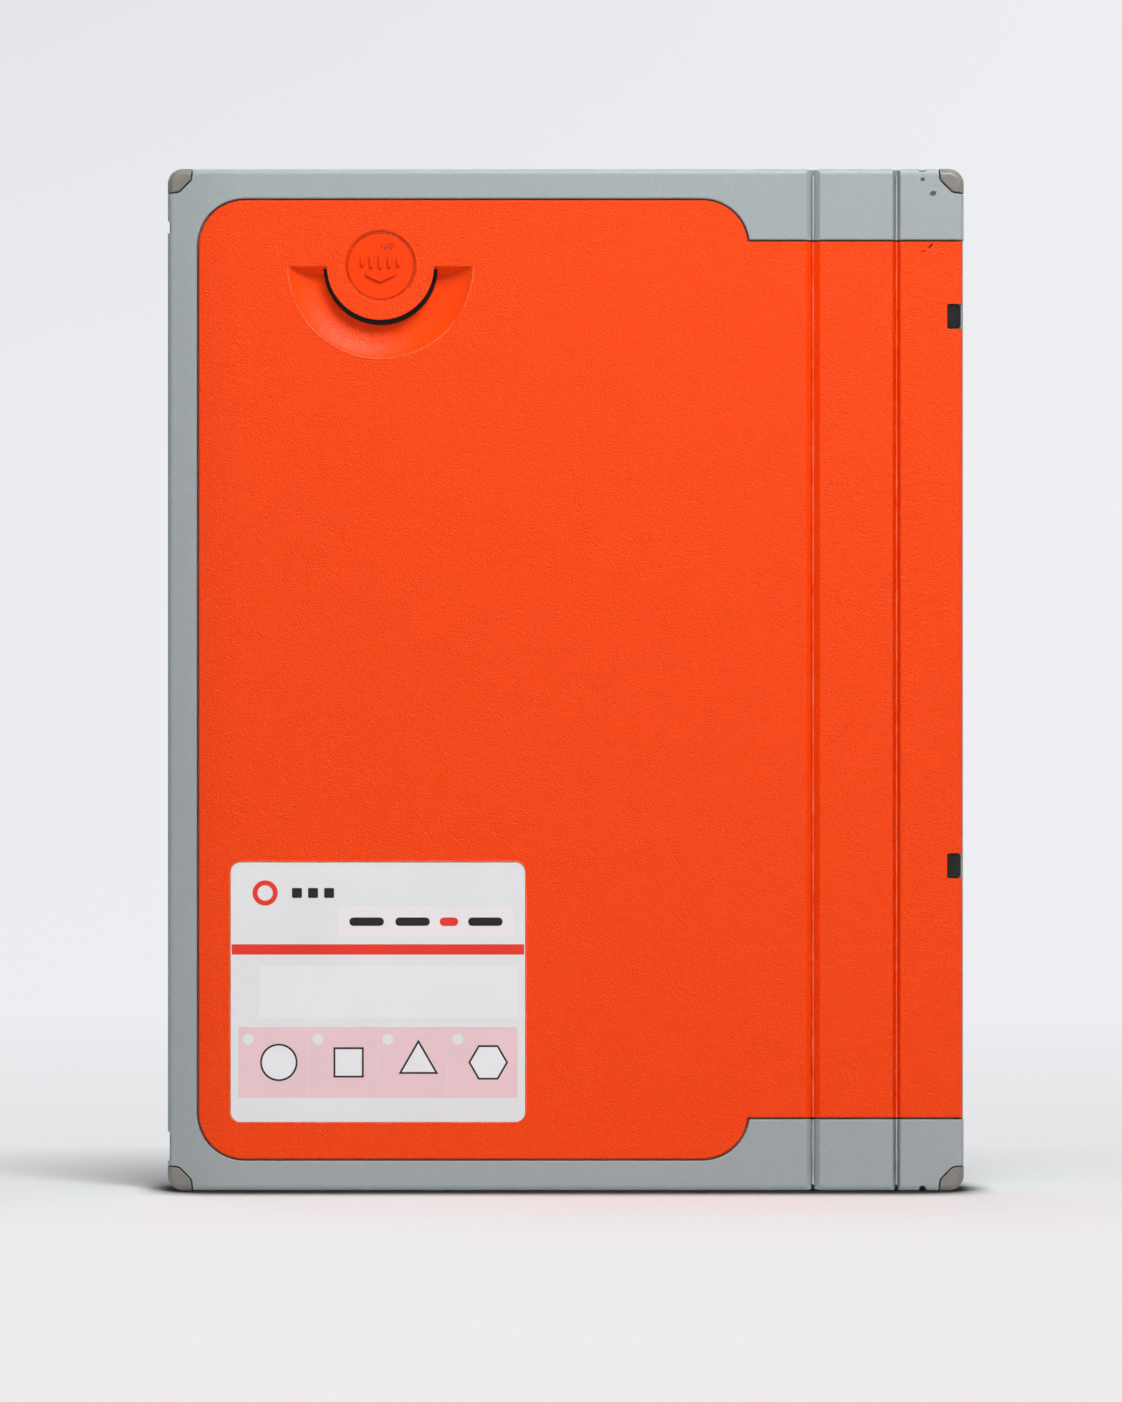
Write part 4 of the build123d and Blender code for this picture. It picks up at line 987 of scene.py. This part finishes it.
label_print("label_rule", [rule], 1, ink_red)
label_print("label_band", [band], 1, ink_pink)
label_print("label_field", [field], 1, ink_grey)
label_print("label_ticks", ticks, 2, ink_white)
label_print("label_figure_edges", cell_figures(0.0), 2, ink_line)
label_print("label_figure_fills", cell_figures(figure_line), 3, ink_grey)
label_print("label_head", [head], 1, ink_pink_pale)
label_print("label_ring", [label_figure(ring_left, ring_top, ring_radius, circle_sides)], 1, ink_red)
label_print("label_ring_eye", [label_figure(ring_left, ring_top, ring_eye, circle_sides)], 2, ink_white)
label_print("label_marks", squares + bars, 2, ink_line)
label_print("label_red_bar", [red_bar], 2, ink_red)
label_print("label_dividers", divider_dots(), 2, ink_white)

# ---- stage ---------------------------------------------------------------------------------------
contact_reach = 22 * MM
contact_from, contact_full = 0.975, 0.72
contact_side_reach = 9 * MM
fade_from, fade_to = 0.02, 0.16


def contact_shade(tree, sideways, camera_ray):
    """Painted contact shadow: rises in the narrow gap under the case, seen by the camera alone, and ends
    beside the case.
    """
    open_share = add_node(tree, "AmbientOcclusion", {"Distance": contact_reach}, samples=24).outputs["AO"]
    shade = spread(tree, open_share, contact_from, contact_full, 0.0, camera_ray)
    return scaled(tree, shade, spread(tree, sideways, 0.0, contact_side_reach, 1.0, 0.0))


def backdrop_glow(tree, axes):
    """Even light of the far floor and backdrop, which changes slowly with the place."""
    across = spread(tree, axes["X"], -0.5, 0.7, 0.0, 1.0)
    behind = spread(tree, axes["Y"], 0.15, 0.9, 0.0, 1.0)
    past_front = spread(tree, axes["Y"], -0.15, 0.12, 0.0, 1.0)
    up = spread(tree, axes["Z"], 0.35, 1.0, 0.0, 1.0)
    wall = mix_colors(tree, across, backdrop_left, backdrop_right)
    high_wall = mix_colors(tree, across, backdrop_top_left, backdrop_top_right)
    far = mix_colors(tree, behind, backdrop_band, wall)
    color = mix_colors(tree, past_front, floor_front, far)
    return add_node(tree, "Emission", {"Color": mix_colors(tree, up, color, high_wall)}).outputs["Emission"]


def stage_material():
    """Pale floor that keeps the object's shadow, with a painted contact shadow under the case, and fades into
    an even backdrop further away.
    """
    material, tree, shader = new_material("stage_paper", roughness=0.75, specular=0.15)
    place = add_node(tree, "NewGeometry").outputs["Position"]
    axes = add_node(tree, "SeparateXYZ", {"Vector": place}).outputs
    rays = add_node(tree, "LightPath").outputs
    beside = calc(tree, "SUBTRACT", calc(tree, "ABSOLUTE", axes["X"]), cad_high.x)
    sideways = calc(tree, "MAXIMUM", beside, 0.0)
    shade = contact_shade(tree, sideways, rays["Is Camera Ray"])
    # painted contact shadow mixed into the floor's colour
    set_color(tree, shader, mix_colors(tree, shade, stage_color, contact_shadow_color))

    away_squared = calc(tree, "ADD", scaled(tree, sideways, sideways), scaled(tree, axes["Y"], axes["Y"]))
    fade = spread(tree, calc(tree, "SQRT", away_squared), fade_from, fade_to, 0.0, 1.0)
    seen = calc(tree, "MAXIMUM", rays["Is Camera Ray"], rays["Is Glossy Ray"])
    shown = scaled(tree, calc(tree, "MAXIMUM", seen, rays["Is Transmission Ray"]), fade)
    looks = {"Fac": shown, 1: shader.outputs["BSDF"], 2: backdrop_glow(tree, axes)}
    surface = add_node(tree, "MixShader", looks).outputs["Shader"]
    tree.links.new(surface, tree.nodes["Material Output"].inputs["Surface"])
    return material


def make_stage():
    """Floor that curves up into a backdrop well behind the object."""
    front, bend_start, bend_radius, top, half_width = -7.0, 3.0, 1.2, 7.0, 9.0
    bend_steps = 16
    profile = [(front, 0.0), (bend_start, 0.0)]
    for step in range(1, bend_steps + 1):
        angle = step / bend_steps * pi / 2
        profile.append((bend_start + bend_radius * sin(angle), bend_radius * (1 - cos(angle))))
    profile.append((bend_start + bend_radius, top))
    vertices = [(x, y, z) for y, z in profile for x in (-half_width, half_width)]
    faces = [(2 * i, 2 * i + 1, 2 * i + 3, 2 * i + 2) for i in range(len(profile) - 1)]
    mesh = bpy.data.meshes.new("stage")
    mesh.from_pydata(vertices, [], faces)
    mesh.materials.append(stage_material())
    for face in mesh.polygons:
        face.use_smooth = True
    stage = bpy.data.objects.new("stage", mesh)
    bpy.context.scene.collection.objects.link(stage)


make_stage()

# ---- light and camera ----------------------------------------------------------------------------
world_strength = 0.28


def area_light(name, place, size, power):
    """Square soft white light at place, turned to the middle of the case."""
    lamp = bpy.data.lights.new(name, "AREA")
    lamp.size = size
    lamp.energy = power
    holder = bpy.data.objects.new(name, lamp)
    holder.location = place
    holder.rotation_euler = (middle - Vector(place)).to_track_quat("-Z", "Y").to_euler()
    bpy.context.scene.collection.objects.link(holder)


def make_world():
    """Even white surroundings."""
    world = bpy.data.worlds.new("studio")
    world.use_nodes = True
    background = world.node_tree.nodes["Background"]
    background.inputs["Color"].default_value = (1.0, 1.0, 1.0, 1.0)
    background.inputs["Strength"].default_value = world_strength
    bpy.context.scene.world = world


def make_camera():
    """Level camera whose frame is the photograph's, with the case's front at the same pixels."""
    camera_data = bpy.data.cameras.new("camera")
    camera_data.sensor_width = sensor_size
    camera_data.lens = sensor_size * camera_distance / (image_height * metres_per_px)
    camera_data.clip_end = 50.0
    camera = bpy.data.objects.new("camera", camera_data)
    body_centre_px = (body_left_px + body_right_px) / 2
    camera.location = (
        middle.x - (body_centre_px - image_width / 2) * metres_per_px,
        cad_low.y - camera_distance,
        cad_low.z + (body_bottom_px - image_height / 2) * metres_per_px,
    )
    camera.rotation_euler = (pi / 2, 0.0, 0.0)
    bpy.context.scene.collection.objects.link(camera)
    bpy.context.scene.camera = camera


area_light("key", (0.72, -1.02, 1.33), size=0.45, power=7.8)
area_light("top", (0.12, -0.40, 0.82), size=0.34, power=5.1)
area_light("fill", (-1.3, -1.6, 0.6), size=1.2, power=2.5)
area_light("back", (-0.6, 1.3, 1.9), size=1.2, power=9.0)
make_world()
make_camera()
bpy.context.scene.view_settings.view_transform = "Standard"
